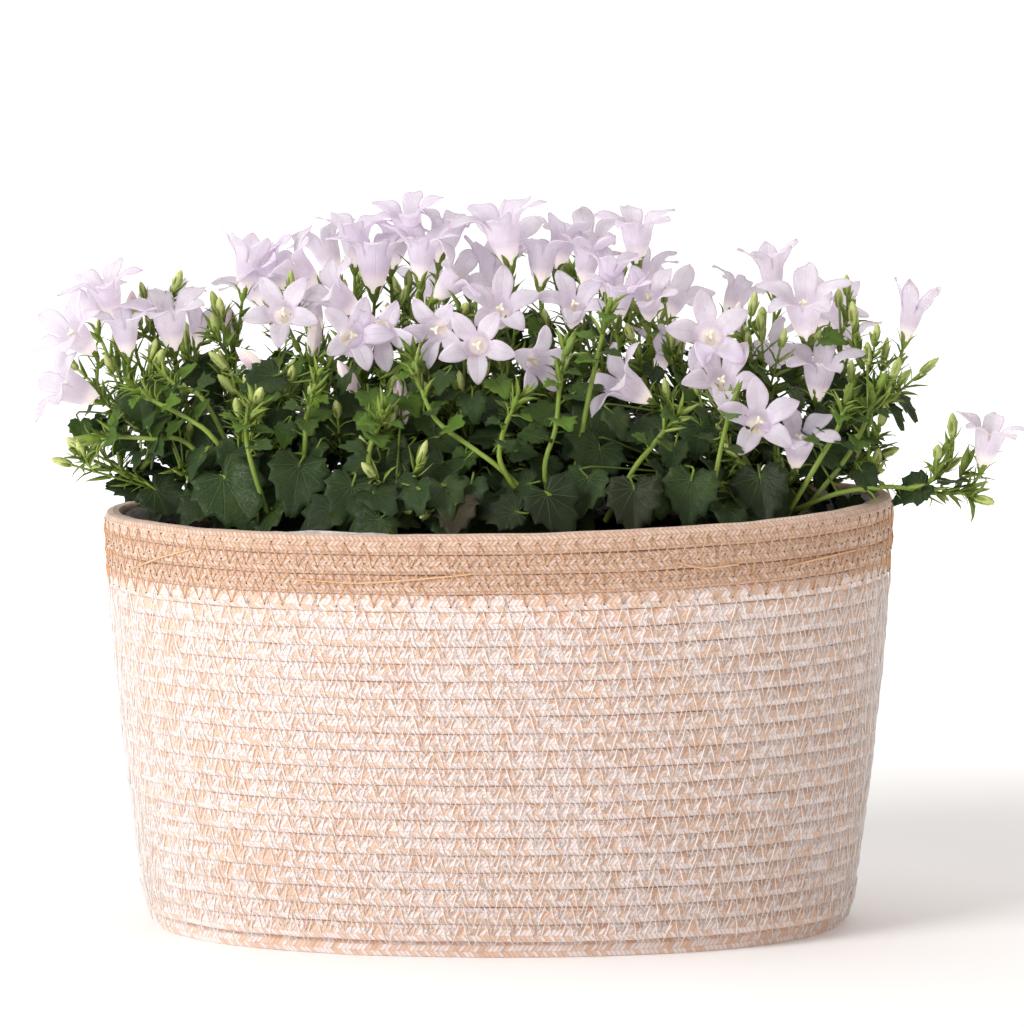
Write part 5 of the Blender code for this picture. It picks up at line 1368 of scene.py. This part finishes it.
def growFillers(garden):
    # Leaves wherever the mound still shows a hole, each with its stalk to the nearest stem
    rand = random.Random(53)
    anchors = [spot for path, _ in garden.stems for spot in smoothPath(path, 4)[2:]]
    anchors += [spot for curve in stalkCurves(garden) for spot in smoothPath(curve, 3)[:-2]]
    standing = [centre for _, centre, *_ in garden.leaves]
    cups = cupSpots(garden, 0.0, 0.012, 0.022)
    grown, tries = 0, 0
    while grown < growthSizes["leaves"] and tries < growthSizes["tries"]:
        tries += 1
        across, depth = rand.uniform(-0.195, 0.195), rand.uniform(-0.1, 0.095)
        # The top of the mound falls towards its ends, its front and its back
        top = 0.262 + 0.016 * exp(-(across / 0.1) ** 2) - 0.018 * (across / 0.19) ** 2
        top -= 0.034 * ((depth - 0.015) / 0.085) ** 2
        edge = smoothStep(0.03, 0.08, abs(depth))
        centre = Vector((across, depth, 0.191 + (top - 0.191) * rand.random() ** (0.62 + 1.4 * edge)))
        if not insideOval(centre, 0.014 - 0.03 * smoothStep(0.205, 0.235, centre.z)):
            continue
        if centre.z > 0.207 and (depth < -0.055 or depth < -0.015 and rand.random() < 0.6):
            continue
        if min((centre - spot).length for spot in standing) < growthSizes["leafSpace"]:
            continue
        if min((centre - cup).length for cup in cups) < growthSizes["bloomSpace"]:
            continue
        out = Vector((across * 0.6, depth - 0.02, 0.0)).normalized()
        normal = (out * 0.75 + Vector((0, 0, 0.8)) + straySpan(rand) * 0.45).normalized()
        ahead = squareTo(out * 0.7 - Vector((0, 0, 0.7)) + straySpan(rand) * 0.7, normal)
        low = 1.0 - smoothStep(0.2, 0.26, centre.z)
        length = growthSizes["leafSmall"] + (growthSizes["leafLarge"] - growthSizes["leafSmall"]) * (
            0.25 * rand.random() + 0.75 * low * rand.random() ** 0.5)
        fold = rand.uniform(0.05, 0.3)
        notch = notchSpot(centre, ahead, normal, length)
        anchor = min(anchors, key=lambda spot: (spot - notch).length + max(0.0, spot.z - notch.z) * 2)
        if (anchor - notch).length <= growthSizes["stalkReach"]:
            garden.fillers.append((leafRoute(anchor, notch, ahead), centre, ahead, normal, length, fold))
            standing.append(centre)
            grown += 1
    print("Undergrowth:", grown, "small leaves")


def growSideBuds(garden):
    rand = random.Random(61)
    curves = stalkCurves(garden) + [path for path, _ in garden.stems]
    cups = cupSpots(garden, 0.004, 0.014, 0.026)
    grown, tries = 0, 0
    while grown < growthSizes["buds"] and tries < growthSizes["budTries"]:
        tries += 1
        line = smoothPath(rand.choice(curves), 5)
        start = line[rand.randrange(len(line) // 2, len(line) - 1)]
        aside = Vector((rand.uniform(-1, 1), rand.uniform(-1, 0.6), 0.0)).normalized()
        end = start + aside * rand.uniform(0.005, 0.012) + Vector((0, 0, rand.uniform(0.007, 0.018)))
        length = rand.uniform(0.008, 0.0135)
        tip = end + Vector((0, 0, length))
        crowded = min((tip - cup).length for cup in cups) < growthSizes["budSpace"]
        if crowded or tip.z > growthSizes["budTop"] or start.z < growthSizes["budFloor"]:
            continue
        cups.append(tip)
        bend = start + aside * 0.008 + Vector((0, 0, 0.004))
        garden.budsGrown.append((curvePoints(start, bend, end, 3), length))
        grown += 1
    print("Undergrowth:", grown, "side buds")


def stalkLines(garden, shoots, rand):
    # Every stem and stalk as a line with its radii and a tint
    thin = stemSizes["pedicelRadius"]
    rows = [(path, 5, growthSizes["shootFoot"], growthSizes["shootTip"], 0.35, 0.6) for path in shoots]
    rows += [(path, 5, stemSizes["mainRadius"], stemSizes["tipRadius"], 0.2, 0.55)
             for path, _ in garden.stems]
    rows += [(curve, 5, thin, thin, 0.4, 0.75) for curve, *_ in garden.calyces]
    rows += [(curve, 4, thin * 0.8, thin * 0.8, 0.45, 0.8) for curve, _ in garden.budsGrown]
    for route, centre, ahead, normal, length, _ in garden.leaves + garden.fillers:
        notch = notchSpot(centre, ahead, normal, length)
        petiole = stemSizes["petioleRadius"] * (0.75 + 12.0 * length)
        rows.append(([*route, notch, notch + ahead * length * 0.06], 3, petiole, petiole, 0.0, 0.35))
    lines = []
    for path, steps, foot, tip, dull, bright in rows:
        if path is not None:
            line = smoothPath(path, steps)
            lines.append((line, np.linspace(foot, tip, len(line)), rand.uniform(dull, bright)))
    return lines


def addSepal(pile, foot, out, rise, length, width, droop, tint, lift=78.0, form=sepalForm):
    # One narrow pointed sepal with a ridge below, bending outwards towards its tip
    sideways = rise.cross(out).normalized()
    shares, halves = np.array(form).T
    rows = []
    for share, half in zip(shares, halves * width):
        angle = radians(lift - droop * share)
        middle = foot + around(out, rise, angle) * length * share
        up = around(rise, -out, angle) * half * 0.28
        rows.append([middle - sideways * half, middle + up * 0.4, middle + sideways * half, middle - up])
    pile.grid(np.array(rows), shares, closeColumns=True, tint=tint)


def addLathe(pile, foot, aim, side, profile, columns, depth, tint, twist=0.0):
    # A body with five ribs along its aim; the profile gives heights and radii
    other = aim.cross(side)
    turns = np.linspace(0.0, 2.0 * pi, columns + 1)[:-1]
    rows = []
    for height, radius in profile:
        swirl = twist * height * 60
        creased = radius * (1.0 + depth * np.cos(turns * 5 + swirl))
        rows.append([foot + aim * height + around(side, other, turn) * float(size)
                     for turn, size in zip(turns + swirl, creased)])
    pile.grid(np.array(rows), closeColumns=True, tint=tint)


def addBracts(pile, garden, shoots, rand):
    # Narrow little leaves up every stalk, thickest below the flowers
    rows = [(curve, 0.3, 1) for curve in stalkCurves(garden)] + [(path, 0.45, 2) for path, _ in garden.stems]
    for path, start, share in rows + [(path, 0.72, 2) for path in shoots]:
        line, count = smoothPath(path, 6), growthSizes["bracts"] * share
        for number in range(count):
            place = start + (0.97 - start) * (number + rand.random()) / count
            index = min(len(line) - 2, int(place * (len(line) - 1)))
            rise = (line[index + 1] - line[index]).normalized()
            side, _ = spanAxes(rise, rand.uniform(0, 6.3))
            scale = rand.uniform(0.6, 1.25)
            addSepal(pile, line[index] + side * 0.0004, side, rise, growthSizes["bractLength"] * scale,
                     growthSizes["bractWidth"] * scale * rand.uniform(0.8, 1.5), rand.uniform(-10, 45),
                     rand.uniform(0.15, 0.75), rand.uniform(45, 68), bractForm)


def addCalyx(greens, husks, foot, aim, size, spent, rand):
    # The cup under a bloom, its sepals and, where the bloom is over, its twisted husk
    tint = rand.uniform(0.35, 0.7)
    side, other = spanAxes(aim, rand.uniform(0, 1.2))
    tall = calyxLength * size
    profile = [(-0.001, 0.0), (0.0, 0.0009), (0.0012 * size, 0.0014 * size), (0.0026 * size, 0.002 * size),
               (tall, 0.0022 * size), (tall, 0.0)]
    addLathe(greens, foot, aim, side, profile, 10, 0.07, tint)
    top = foot + aim * (tall - 0.0004)
    for step in range(5):
        out = around(side, other, (step + rand.uniform(0.4, 0.6)) * 2.0 * pi / 5)
        droop = rand.uniform(2, 20) if spent else rand.uniform(5, 60)
        length = stemSizes["sepalLength"] * size * rand.uniform(0.88, 1.1)
        addSepal(greens, top + out * 0.0021 * size, out, aim, length, stemSizes["sepalWidth"] * size, droop,
                 tint + rand.uniform(-0.1, 0.1))
    if spent:
        profile = [(share * spent, radius) for share, radius in spentForm]
        addLathe(husks, top + aim * 0.0002, aim, side, profile, 20, 0.12, rand.uniform(0.2, 1.0),
                 rand.uniform(0.3, 1.0))


def addBud(greens, curve, length, rand):
    foot, aim = curve[-1], (curve[-1] - curve[-2]).normalized()
    side, other = spanAxes(aim, rand.uniform(0, 1.2))
    plump = rand.uniform(0.72, 1.0)
    profile = [(share * length, radius * plump) for share, radius in budForm]
    addLathe(greens, foot, aim, side, profile, 10, 0.06, rand.uniform(0.8, 1.05))
    for step in range(5):
        out = around(side, other, (step + 0.5) * 2.0 * pi / 5)
        addSepal(greens, foot + aim * 0.0008 + out * 0.0013, out, aim, length * rand.uniform(0.5, 0.75),
                 0.0008, rand.uniform(-10, 8), rand.uniform(0.45, 0.75))


def greenFinish(name, low, high, tip):
    # Smooth green skin that pales with the tint of each part
    finish = Finish(name, Roughness=0.5, Specular_IOR_Level=0.35, Subsurface_Weight=0.15,
                    Subsurface_Scale=0.002, Subsurface_Radius=(0.8, 1.0, 0.3))
    tint, flecks = finish.tint(), finish.noise(420.0, 3.0)
    colour = finish.blend(finish.share(tint, 0.0, 0.6), low, high)
    colour = finish.blend(finish.share(tint, 0.6, 1.0), colour, tip)
    colour = finish.blend(finish.share(flecks, 0.35, 0.7, 0.0, 0.35), colour, high)
    return finish.close(colour, flecks, 0.0003)


def makeGreens(garden, shoots):
    rand = random.Random(17)
    stalks, greens, husks = stalkLines(garden, shoots, rand), Pile(), Pile()
    addBracts(greens, garden, shoots, rand)
    for curve, aim, size, spent in garden.calyces:
        if curve is not None:
            addCalyx(greens, husks, curve[-1], aim, size, spent, rand)
    for curve, length in garden.budsGrown:
        if curve is not None:
            addBud(greens, curve, length, rand)
    green = greenFinish("Stem skin", (80, 100, 38), (128, 152, 62), (204, 212, 138))
    growPiece("stemsAndStalks", lineMesh("stalk lines", stalks), tubeTree(), {"Sides": stemSizes["sides"]},
              green, "foliage", ["plant_left", "plant_centre", "plant_right"])
    placePiece("sepalsAndBuds", cleanMesh(greens.mesh("sepalsAndBuds")), green, "foliage")
    spent = petalFinish("Spent petals", (226, 210, 216), (206, 184, 194), (232, 220, 212), 0.6)
    placePiece("spentBlooms", cleanMesh(husks.mesh("spentBlooms")), spent, "petals")
    print("Greens:", len(stalks), "stalks")


# Leaves
leafSizes = {"thickness": 0.00035, "toothDepth": 0.12, "wave": 0.036, "quilt": 0.012,
             "folds": (0.06, 0.14, 0.22, 0.3), "bladesPerFold": 2}
toothForm = (-0.45, -0.2, 0.1, 0.75, 0.0)
smallToothForm = (-0.4, 0.1, 0.7)
bladeEdge = ((0.07, 0.0), (-0.05, 0.08), (-0.12, 0.2), (-0.08, 0.34), (0.04, 0.45), (0.2, 0.5),
             (0.38, 0.47), (0.56, 0.38), (0.73, 0.26), (0.88, 0.13), (1.0, 0.0))


def bladeTemplate(fold, teeth, form, shares, seed):
    # A heart-shaped blade with broad, pointed teeth, in shares of its length
    rand = random.Random(seed)
    steps = 3 + teeth * len(form)
    envelope = smoothPath([Vector((share, out, 0.0)) for share, out in bladeEdge], 12)
    half = [envelope[round(step * (len(envelope) - 1) / steps)] for step in range(steps + 1)]
    heart = Vector((leafHeart[0], 0.0, 0.0))
    sides = []
    for mirror in (1, -1):
        edge = []
        for step, spot in enumerate(half):
            if 2 < step < steps:
                reach = form[(step - 3) % len(form)] * (1.0 - 0.5 * step / steps) * 6 / (teeth + 1)
                away = (spot - heart).normalized() + Vector((0.6, 0.0, 0.0))
                spot = spot + away * reach * leafSizes["toothDepth"] * rand.uniform(0.75, 1.25)
            edge.append(Vector((spot.x, spot.y * mirror, 0.0)))
        sides.append(edge)
    phases = [rand.uniform(0, 6.3) for _ in range(3)]
    rings = []
    for share in shares:
        ring = []
        for spot in sides[0] + sides[1][-2:0:-1]:
            point = heart.lerp(spot, share)
            angle = atan2(point.y, point.x - 0.1)
            lift = fold * abs(point.y) * min(1.0, abs(point.y) / 0.08) - bladeCurl * point.x * abs(point.x)
            wave = sum(sin(angle * turns + phase) for turns, phase in zip((3, 5, 7), phases))
            quilt = abs(sin(angle * 3.1)) * leafSizes["quilt"] * sin(share * pi)
            ring.append((point.x - 0.4, point.y, lift + wave * leafSizes["wave"] * share ** 2 / 1.6 + quilt))
        rings.append(ring)
    pile = Pile()
    pile.grid(np.array(rings), closeColumns=True)
    mesh = pile.mesh("blade sheet")
    # The leaves bring their own tint; the map lies flat over the blade
    mesh.attributes.remove(mesh.attributes["tint"])
    for loop, place in zip(mesh.loops, mesh.uv_layers["UVMap"].data):
        spot = mesh.vertices[loop.vertex_index].co
        place.uv = (spot.x + 0.4, spot.y + 0.5)
    return cleanMesh(mesh, 0.0001, False)


def bladeTree():
    # One of the blades at every point, turned, sized and tinted by the point
    tree = Tree("Blades", [("Blades", "Collection", None)])
    kinds = tree.put("GeometryNodeCollectionInfo", {
        "Collection": tree.given["Blades"], "Separate Children": True, "Reset Children": True})
    return tree.close(tree.put("GeometryNodeInstanceOnPoints", {
        "Points": tree.given["Geometry"], "Instance": kinds, "Pick Instance": True,
        "Instance Index": tree.attribute("kind", "INT"), "Rotation": tree.attribute("turn", "QUATERNION"),
        "Scale": tree.attribute("size")}))


def leafFinish():
    # Veins spread from the stalk; tints below 0 darken into painted shade for leaves low and deep in the
    # mound, some also aged, and the lowest turn purplish; tints near 1 are young and bright
    finish = Finish("Leaf", Roughness=0.4, Specular_IOR_Level=0.32, Subsurface_Weight=0.1,
                    Subsurface_Scale=0.002, Subsurface_Radius=(0.6, 1.0, 0.2))
    maths, times, share, blend = finish.maths, finish.times, finish.share, finish.blend
    along, out, _ = finish.axes(finish.place("UV"))
    ahead, aside = maths("SUBTRACT", along, 0.1), maths("SUBTRACT", out, 0.5)
    angle = maths("ARCTAN2", aside, ahead)
    reach = maths("SQRT", maths("ADD", times(ahead, ahead), times(aside, aside)))
    place = maths("FRACT", maths("ADD", maths("DIVIDE", angle, 0.46), 0.5))
    across = times(times(maths("ABSOLUTE", maths("SUBTRACT", place, 0.5)), 0.46), reach)
    vein = times(share(across, 0.003, 0.013, 1.0, 0.0), share(reach, 0.1, 0.75, 1.0, 0.15))
    small = finish.noise(34.0, 5.0, finish.place("UV"), 0.6)
    net = share(maths("ABSOLUTE", maths("SUBTRACT", small, 0.5)), 0.0, 0.035, 0.5, 0.0)
    tint, patch = finish.tint(), finish.noise(70.0, 2.0)
    colour = finish.ramp(small, (36, 56, 28), (56, 80, 42), 0.35, 0.65)
    colour = blend(share(patch, 0.4, 0.7, 0.0, 0.6), colour, (68, 90, 38))
    colour = blend(share(tint, 0.1, 0.9), colour, (106, 142, 44))
    # Painted shade: negative tints darken the leaf, the most negative towards a purplish brown
    colour = blend(share(tint, -0.05, -0.8, 0.0, 0.85), colour, (28, 36, 20))
    colour = blend(share(tint, -0.8, -1.0, 0.0, 0.6), colour, (72, 56, 42))
    colour = blend(times(vein, 0.34), colour, (118, 142, 88))
    colour = blend(times(net, 0.25), colour, (100, 120, 76))
    height = maths("SUBTRACT", times(small, 0.35), maths("ADD", times(vein, 0.8), net))
    return finish.close(colour, height, 0.0008, 0.8)


def makeLeaves(name, leaves, material, teeth, form, shares, seed):
    # A few blades of each fold serve for all
    rand = random.Random(seed)
    kinds = bpy.data.collections.new("blade kinds")
    folds, each = leafSizes["folds"], leafSizes["bladesPerFold"]
    for number in range(len(folds) * each):
        template = bladeTemplate(folds[number // each], teeth, form, shares, number + seed)
        kinds.objects.link(bpy.data.objects.new("blade %02d" % number, template))
    spots, turns, sizes, tints, variants = [], [], [], [], []
    for _, centre, ahead, normal, length, fold in leaves:
        axes = Matrix((ahead, normal.cross(ahead).normalized(), normal)).transposed()
        spots.append(tuple(centre))
        turns += list(axes.to_quaternion())
        sizes.append(length)
        nearest = min(range(len(folds)), key=lambda number: abs(folds[number] - fold))
        variants.append(nearest * each + rand.randrange(each))
        young = (1.0 - smoothStep(0.01, 0.02, length)) * smoothStep(0.205, 0.24, centre.z)
        young *= rand.uniform(0.2, 1.0)
        # Painted shade: leaves low in the mound and away from its front get darker tints; a random share of
        # the low leaves also darken, partly as aged leaves and partly as painted shade
        deep = (1.0 - smoothStep(0.195, 0.235, centre.z)) * smoothStep(-0.06, 0.0, centre.y)
        agedAndShaded = (1.0 - smoothStep(0.19, 0.23, centre.z)) * rand.random() * (rand.random() < 0.3)
        tints.append(young - max(agedAndShaded, 0.75 * deep) + rand.uniform(-0.25, 0.12))
    mesh = bpy.data.meshes.new("leaf spots")
    mesh.from_pydata(spots, [], [])
    for label, kind, values in (("turn", "QUATERNION", turns), ("size", "FLOAT", sizes),
                                ("tint", "FLOAT", tints), ("kind", "INT", variants)):
        pointValues(mesh, label, kind, values)
    sheet = grownMesh(mesh, bladeTree(), name + " sheets", {"Blades": kinds, "Material": material})
    placePiece(name, thickened(sheet, leafSizes["thickness"], name), material, "foliage")
    for blade in list(kinds.objects):
        bpy.data.objects.remove(blade, do_unlink=True)
    bpy.data.collections.remove(kinds)
    print("Leaves:", name, len(spots))


# Open blooms
# The petals' glow is painted light: they are no lamp, and the glow stands in for light shining through them
petalSizes = {"thickness": 0.0004, "glow": 0.19, "paintedThroatGlow": 0.2, "columns": 7, "edgeWave": 0.0006,
              "cup": 0.26, "crease": 0.0004}
petalWidths = ((0.15, 0.0041), (0.3, 0.0046), (0.5, 0.0048), (0.68, 0.0042), (0.83, 0.0029), (0.93, 0.0016),
               (1.0, 0.0002))


def petalFinish(name, low, high, throat, reach):
    # Lilac white, paler in the throat, with fine lengthwise veins; the map runs across and along
    finish = Finish(name, Roughness=0.55, Specular_IOR_Level=0.25, Sheen_Weight=0.1, Subsurface_Weight=0.8,
                    Subsurface_Scale=0.005, Subsurface_Radius=(1.0, 0.96, 1.0))
    maths, times, share, blend = finish.maths, finish.times, finish.share, finish.blend
    across, along, _ = finish.axes(finish.place("UV"))
    aside = maths("ABSOLUTE", across)
    lines = maths("ABSOLUTE", maths("SINE", times(across, 11.0)))
    vein = maths("MAXIMUM", share(lines, 0.0, 0.22, 0.5, 0.0), share(aside, 0.0, 0.09, 0.6, 0.0))
    cloud = finish.noise(130.0, 3.0)
    colour = finish.ramp(cloud, low, high, 0.35, 0.65)
    colour = blend(times(vein, 0.35), colour, (198, 176, 208))
    # Painted shade: the petals' edges and tips, where they curl, are darkened towards mauve
    margin = maths("MAXIMUM", times(share(aside, 0.8, 1.0), share(along, 0.9, 1.2)), share(along, 1.8, 2.0))
    colour = blend(times(margin, 0.5), colour, (198, 164, 192))
    deep = share(along, 0.2, reach, 1.0, 0.0)
    colour = blend(deep, colour, throat)
    # Painted light: the petals glow in their own colour, more strongly deep in the throat
    finish.feed("Emission Color", colour)
    glow = maths("MULTIPLY_ADD", deep, petalSizes["paintedThroatGlow"], petalSizes["glow"])
    finish.feed("Emission Strength", glow)
    return finish.close(colour, maths("SUBTRACT", times(cloud, 0.3), vein), 0.0003)


def addBloom(pile, foot, aim, size, spread, spin, rand):
    # Five sectors of one bell; each runs up the tube and out over a pointed, bent-back petal
    side, other = spanAxes(aim, spin)
    mouth = mouthRadius * size * (0.72 + 0.28 * spread)
    narrow, tube = tubeFootRadius * size, tubeLength * size
    rise, curl = 68.0 - 44.0 * spread, 0.5 * spread - 0.12
    columns = np.linspace(-1.0, 1.0, petalSizes["columns"])
    base = foot + aim * gap
    for step in range(5):
        middle = (step + 0.5) * fifth
        out, sideways = around(side, other, middle), around(other, -side, middle)
        rows, places = [[base] * len(columns)], [0.0]
        for share in (0.0, 0.12, 0.3, 0.5, 0.7, 0.86):
            radius = narrow + (mouth - narrow) * (1.0 - (1.0 - share) ** 1.5)
            rows.append([base + aim * tube * share + around(out, sideways, place * fifth / 2) * radius
                         for place in columns])
            places.append(share)
        length = petalLength * size * rand.uniform(0.95, 1.06)
        twist, bend, phase = rand.uniform(-0.25, 0.25), rand.uniform(-7.0, 7.0), rand.uniform(0, 6.3)
        spot, last = base + aim * tube + out * mouth * cos(fifth / 2), 0.0
        for along in (0.0, 0.07, 0.15, 0.25, 0.37, 0.5, 0.62, 0.74, 0.85, 0.93, 1.0):
            fall = 0.35 * along + 0.65 * smoothStep(0.1, 1.0, along)
            angle = radians(74.0 + (rise + bend - 74.0) * min(1.0, fall * 1.5)) - 1.3 * curl * along
            up = around(aim, -out, angle)
            spot = spot + around(out, aim, angle) * length * (along - last)
            last = along
            half = float(np.interp(along, *zip(*petalWidths))) * size
            half += (mouth * sin(fifth / 2) - half) * (1.0 - smoothStep(0.0, 0.2, along))
            lean = around(sideways, up, twist * along)
            early = 1.0 - smoothStep(0.0, 0.3, along)
            late = 1.0 - early
            row = []
            for place in columns:
                arc = place * fifth / 2
                across = mouth * sin(arc) * early + half * place * late
                bulge = mouth * (cos(arc) - cos(fifth / 2)) * early
                cup = petalSizes["cup"] * half * (place * place - 0.4) * late * (1.0 - 0.9 * along)
                crease = -petalSizes["crease"] * (1.0 - abs(place)) ** 3 * late * (1.0 - along)
                wave = petalSizes["edgeWave"] * place * abs(place) * sin(along * 9.0 + phase) * late
                row.append(spot + lean * across + out * bulge + up * (cup + crease + wave))
            rows.append(row)
            places.append(1.0 + along)
        pile.grid(np.array(rows), places, columns)


def styleLines(foot, aim, size, rand):
    # The style up the bell and its three lobes
    tall = tubeLength * size
    top = foot + aim * tall * 1.05
    lines = [([foot + aim * 0.001, foot + aim * tall * 0.5, top], [0.001, 0.0009, 0.0012], 0.3)]
    side, other = spanAxes(aim, rand.uniform(0, 2))
    for step in range(3):
        out = around(side, other, step * 2.1)
        lobe = [top - aim * 0.0004, top + out * 0.0011 + aim * 0.0014, top + out * 0.0022 + aim * 0.0013]
        lines.append((lobe, [0.0009, 0.0008, 0.0005], 0.8))
    return lines


def makeBlooms(garden):
    # Three groups, from left to right, by where the blooms and their nodes stand
    rand = random.Random(41)
    inside = petalFinish("Petals inside", (208, 199, 220), (220, 212, 232), (255, 252, 243), 1.35)
    outside = petalFinish("Petals outside", (205, 191, 210), (215, 204, 223), (244, 232, 230), 0.7)
    heart = greenFinish("Stigma", (243, 237, 200), (247, 242, 212), (250, 246, 224))
    groups = {"bloomsLeft": (-1.0, -0.045), "bloomsCentre": (-0.045, 0.055), "bloomsRight": (0.055, 1.0)}
    piles, nodes, lines = {name: Pile() for name in groups}, {name: [] for name in groups}, []

    def groupAt(across):
        return next(name for name, (start, end) in groups.items() if start <= across < end)

    for number in range(1, 30):
        low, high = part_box("bloom_%02d" % number)
        nodes[groupAt((low.x + high.x) / 2)].append("bloom_%02d" % number)
    for foot, aim, size, spread, spin in garden.blooms:
        addBloom(piles[groupAt(foot.x)], foot, aim, size, spread, spin, rand)
        lines += styleLines(foot, aim, size, rand)
    for name, pile in piles.items():
        sheet = cleanMesh(pile.mesh(name + " sheet", swapMap=True))
        bells = thickened(sheet, petalSizes["thickness"], name, twoSided=True)
        placePiece(name, bells, (outside, inside), "petals", nodes[name])
    growPiece("styles", lineMesh("styles", lines), tubeTree(), {"Sides": 6}, heart, "petals")
    print("Blooms:", len(garden.blooms))


# Dressing the pot
garden = growGarden([packedShape(node) for node in ("basket_body", "basket_rim_band", "liner")])
print("Layout:", len(garden.leaves), "leaves,", len(garden.blooms), "blooms")
growFillers(garden)
growSideBuds(garden)
shoots = growShoots(garden)
makeBasket()
makeStitches()
makeLiner()
makeSoil()
makeGreens(garden, shoots)
leaf = leafFinish()
makeLeaves("leaves", garden.leaves, leaf, 6, toothForm, (0.0, 0.4, 0.78, 1.0), 29)
makeLeaves("smallLeaves", garden.fillers, leaf, 4, smallToothForm, (0.0, 0.6, 1.0), 37)
makeBlooms(garden)

# Lights: place, where they aim, size, power and colour
lights = {"key": ((-2.2, -1.88, 1.5), (0, 0, 0.15), 1.5, 80.0, (1.0, 0.985, 0.98)),
          "fill": ((2.0, -2.0, 0.9), (0, 0, 0.15), 2.0, 4.5, (1.0, 0.58, 0.34)),
          "above": ((0.0, 0.4, 2.4), (0, 0, 0.1), 2.4, 26.0, (1.0, 1.0, 1.0))}
skyLight = {"Color": (1.0, 0.91, 0.85, 1.0), "Strength": 0.28}
# A wide white floor that glows softly away from the pot, so that it stays white to the horizon
floorSizes = {"reach": 45.0, "white": (254, 254, 254), "glow": (251, 253, 255), "glowFrom": 0.3,
              "glowTo": 1.2, "glowNear": 0.13, "glowFar": 0.95}
cameraSizes = {"lens": 191.7, "spot": (0.006, -2.5, 0.462), "aim": (0.006, 0.0, 0.1896)}


def aimed(name, data, spot, aimAt):
    thing = placed(name, data)
    thing.location = spot
    thing.rotation_euler = (Vector(aimAt) - Vector(spot)).to_track_quat("-Z", "Y").to_euler()
    return thing


def makeFloor():
    reach = floorSizes["reach"]
    mesh = bpy.data.meshes.new("studioFloor")
    corners = [(across * reach, depth * reach, 0) for across, depth in ((-1, -1), (1, -1), (1, 1), (-1, 1))]
    mesh.from_pydata(corners, [], [(0, 1, 2, 3)])
    floor = placed("studioFloor", mesh)
    finish = Finish("Studio white", Roughness=0.9, Base_Color=fromScreen(*floorSizes["white"]),
                    Emission_Color=fromScreen(*floorSizes["glow"]))
    away = finish.put("ShaderNodeVectorMath", {0: finish.place()}, "Value", operation="LENGTH")
    limits = [floorSizes[label] for label in ("glowFrom", "glowTo", "glowNear", "glowFar")]
    finish.feed("Emission Strength", finish.share(away, *limits))
    mesh.materials.append(finish.material)


makeFloor()
for name, (spot, aimAt, size, power, colour) in lights.items():
    lamp = bpy.data.lights.new(name, "AREA")
    lamp.shape = "DISK"
    lamp.size = size
    lamp.energy = power
    lamp.color = colour
    aimed(name, lamp, spot, aimAt)
world = bpy.data.worlds.new("studio")
world.use_nodes = True
for label, value in skyLight.items():
    world.node_tree.nodes["Background"].inputs[label].default_value = value
scene.world = world
scene.view_settings.view_transform = "Standard"
lens = bpy.data.cameras.new("camera")
lens.sensor_width = 36.0
lens.lens = cameraSizes["lens"]
scene.camera = aimed("camera", lens, cameraSizes["spot"], cameraSizes["aim"])
print("Stage: floor,", len(lights), "lights and camera")

bpy.context.view_layer.update()
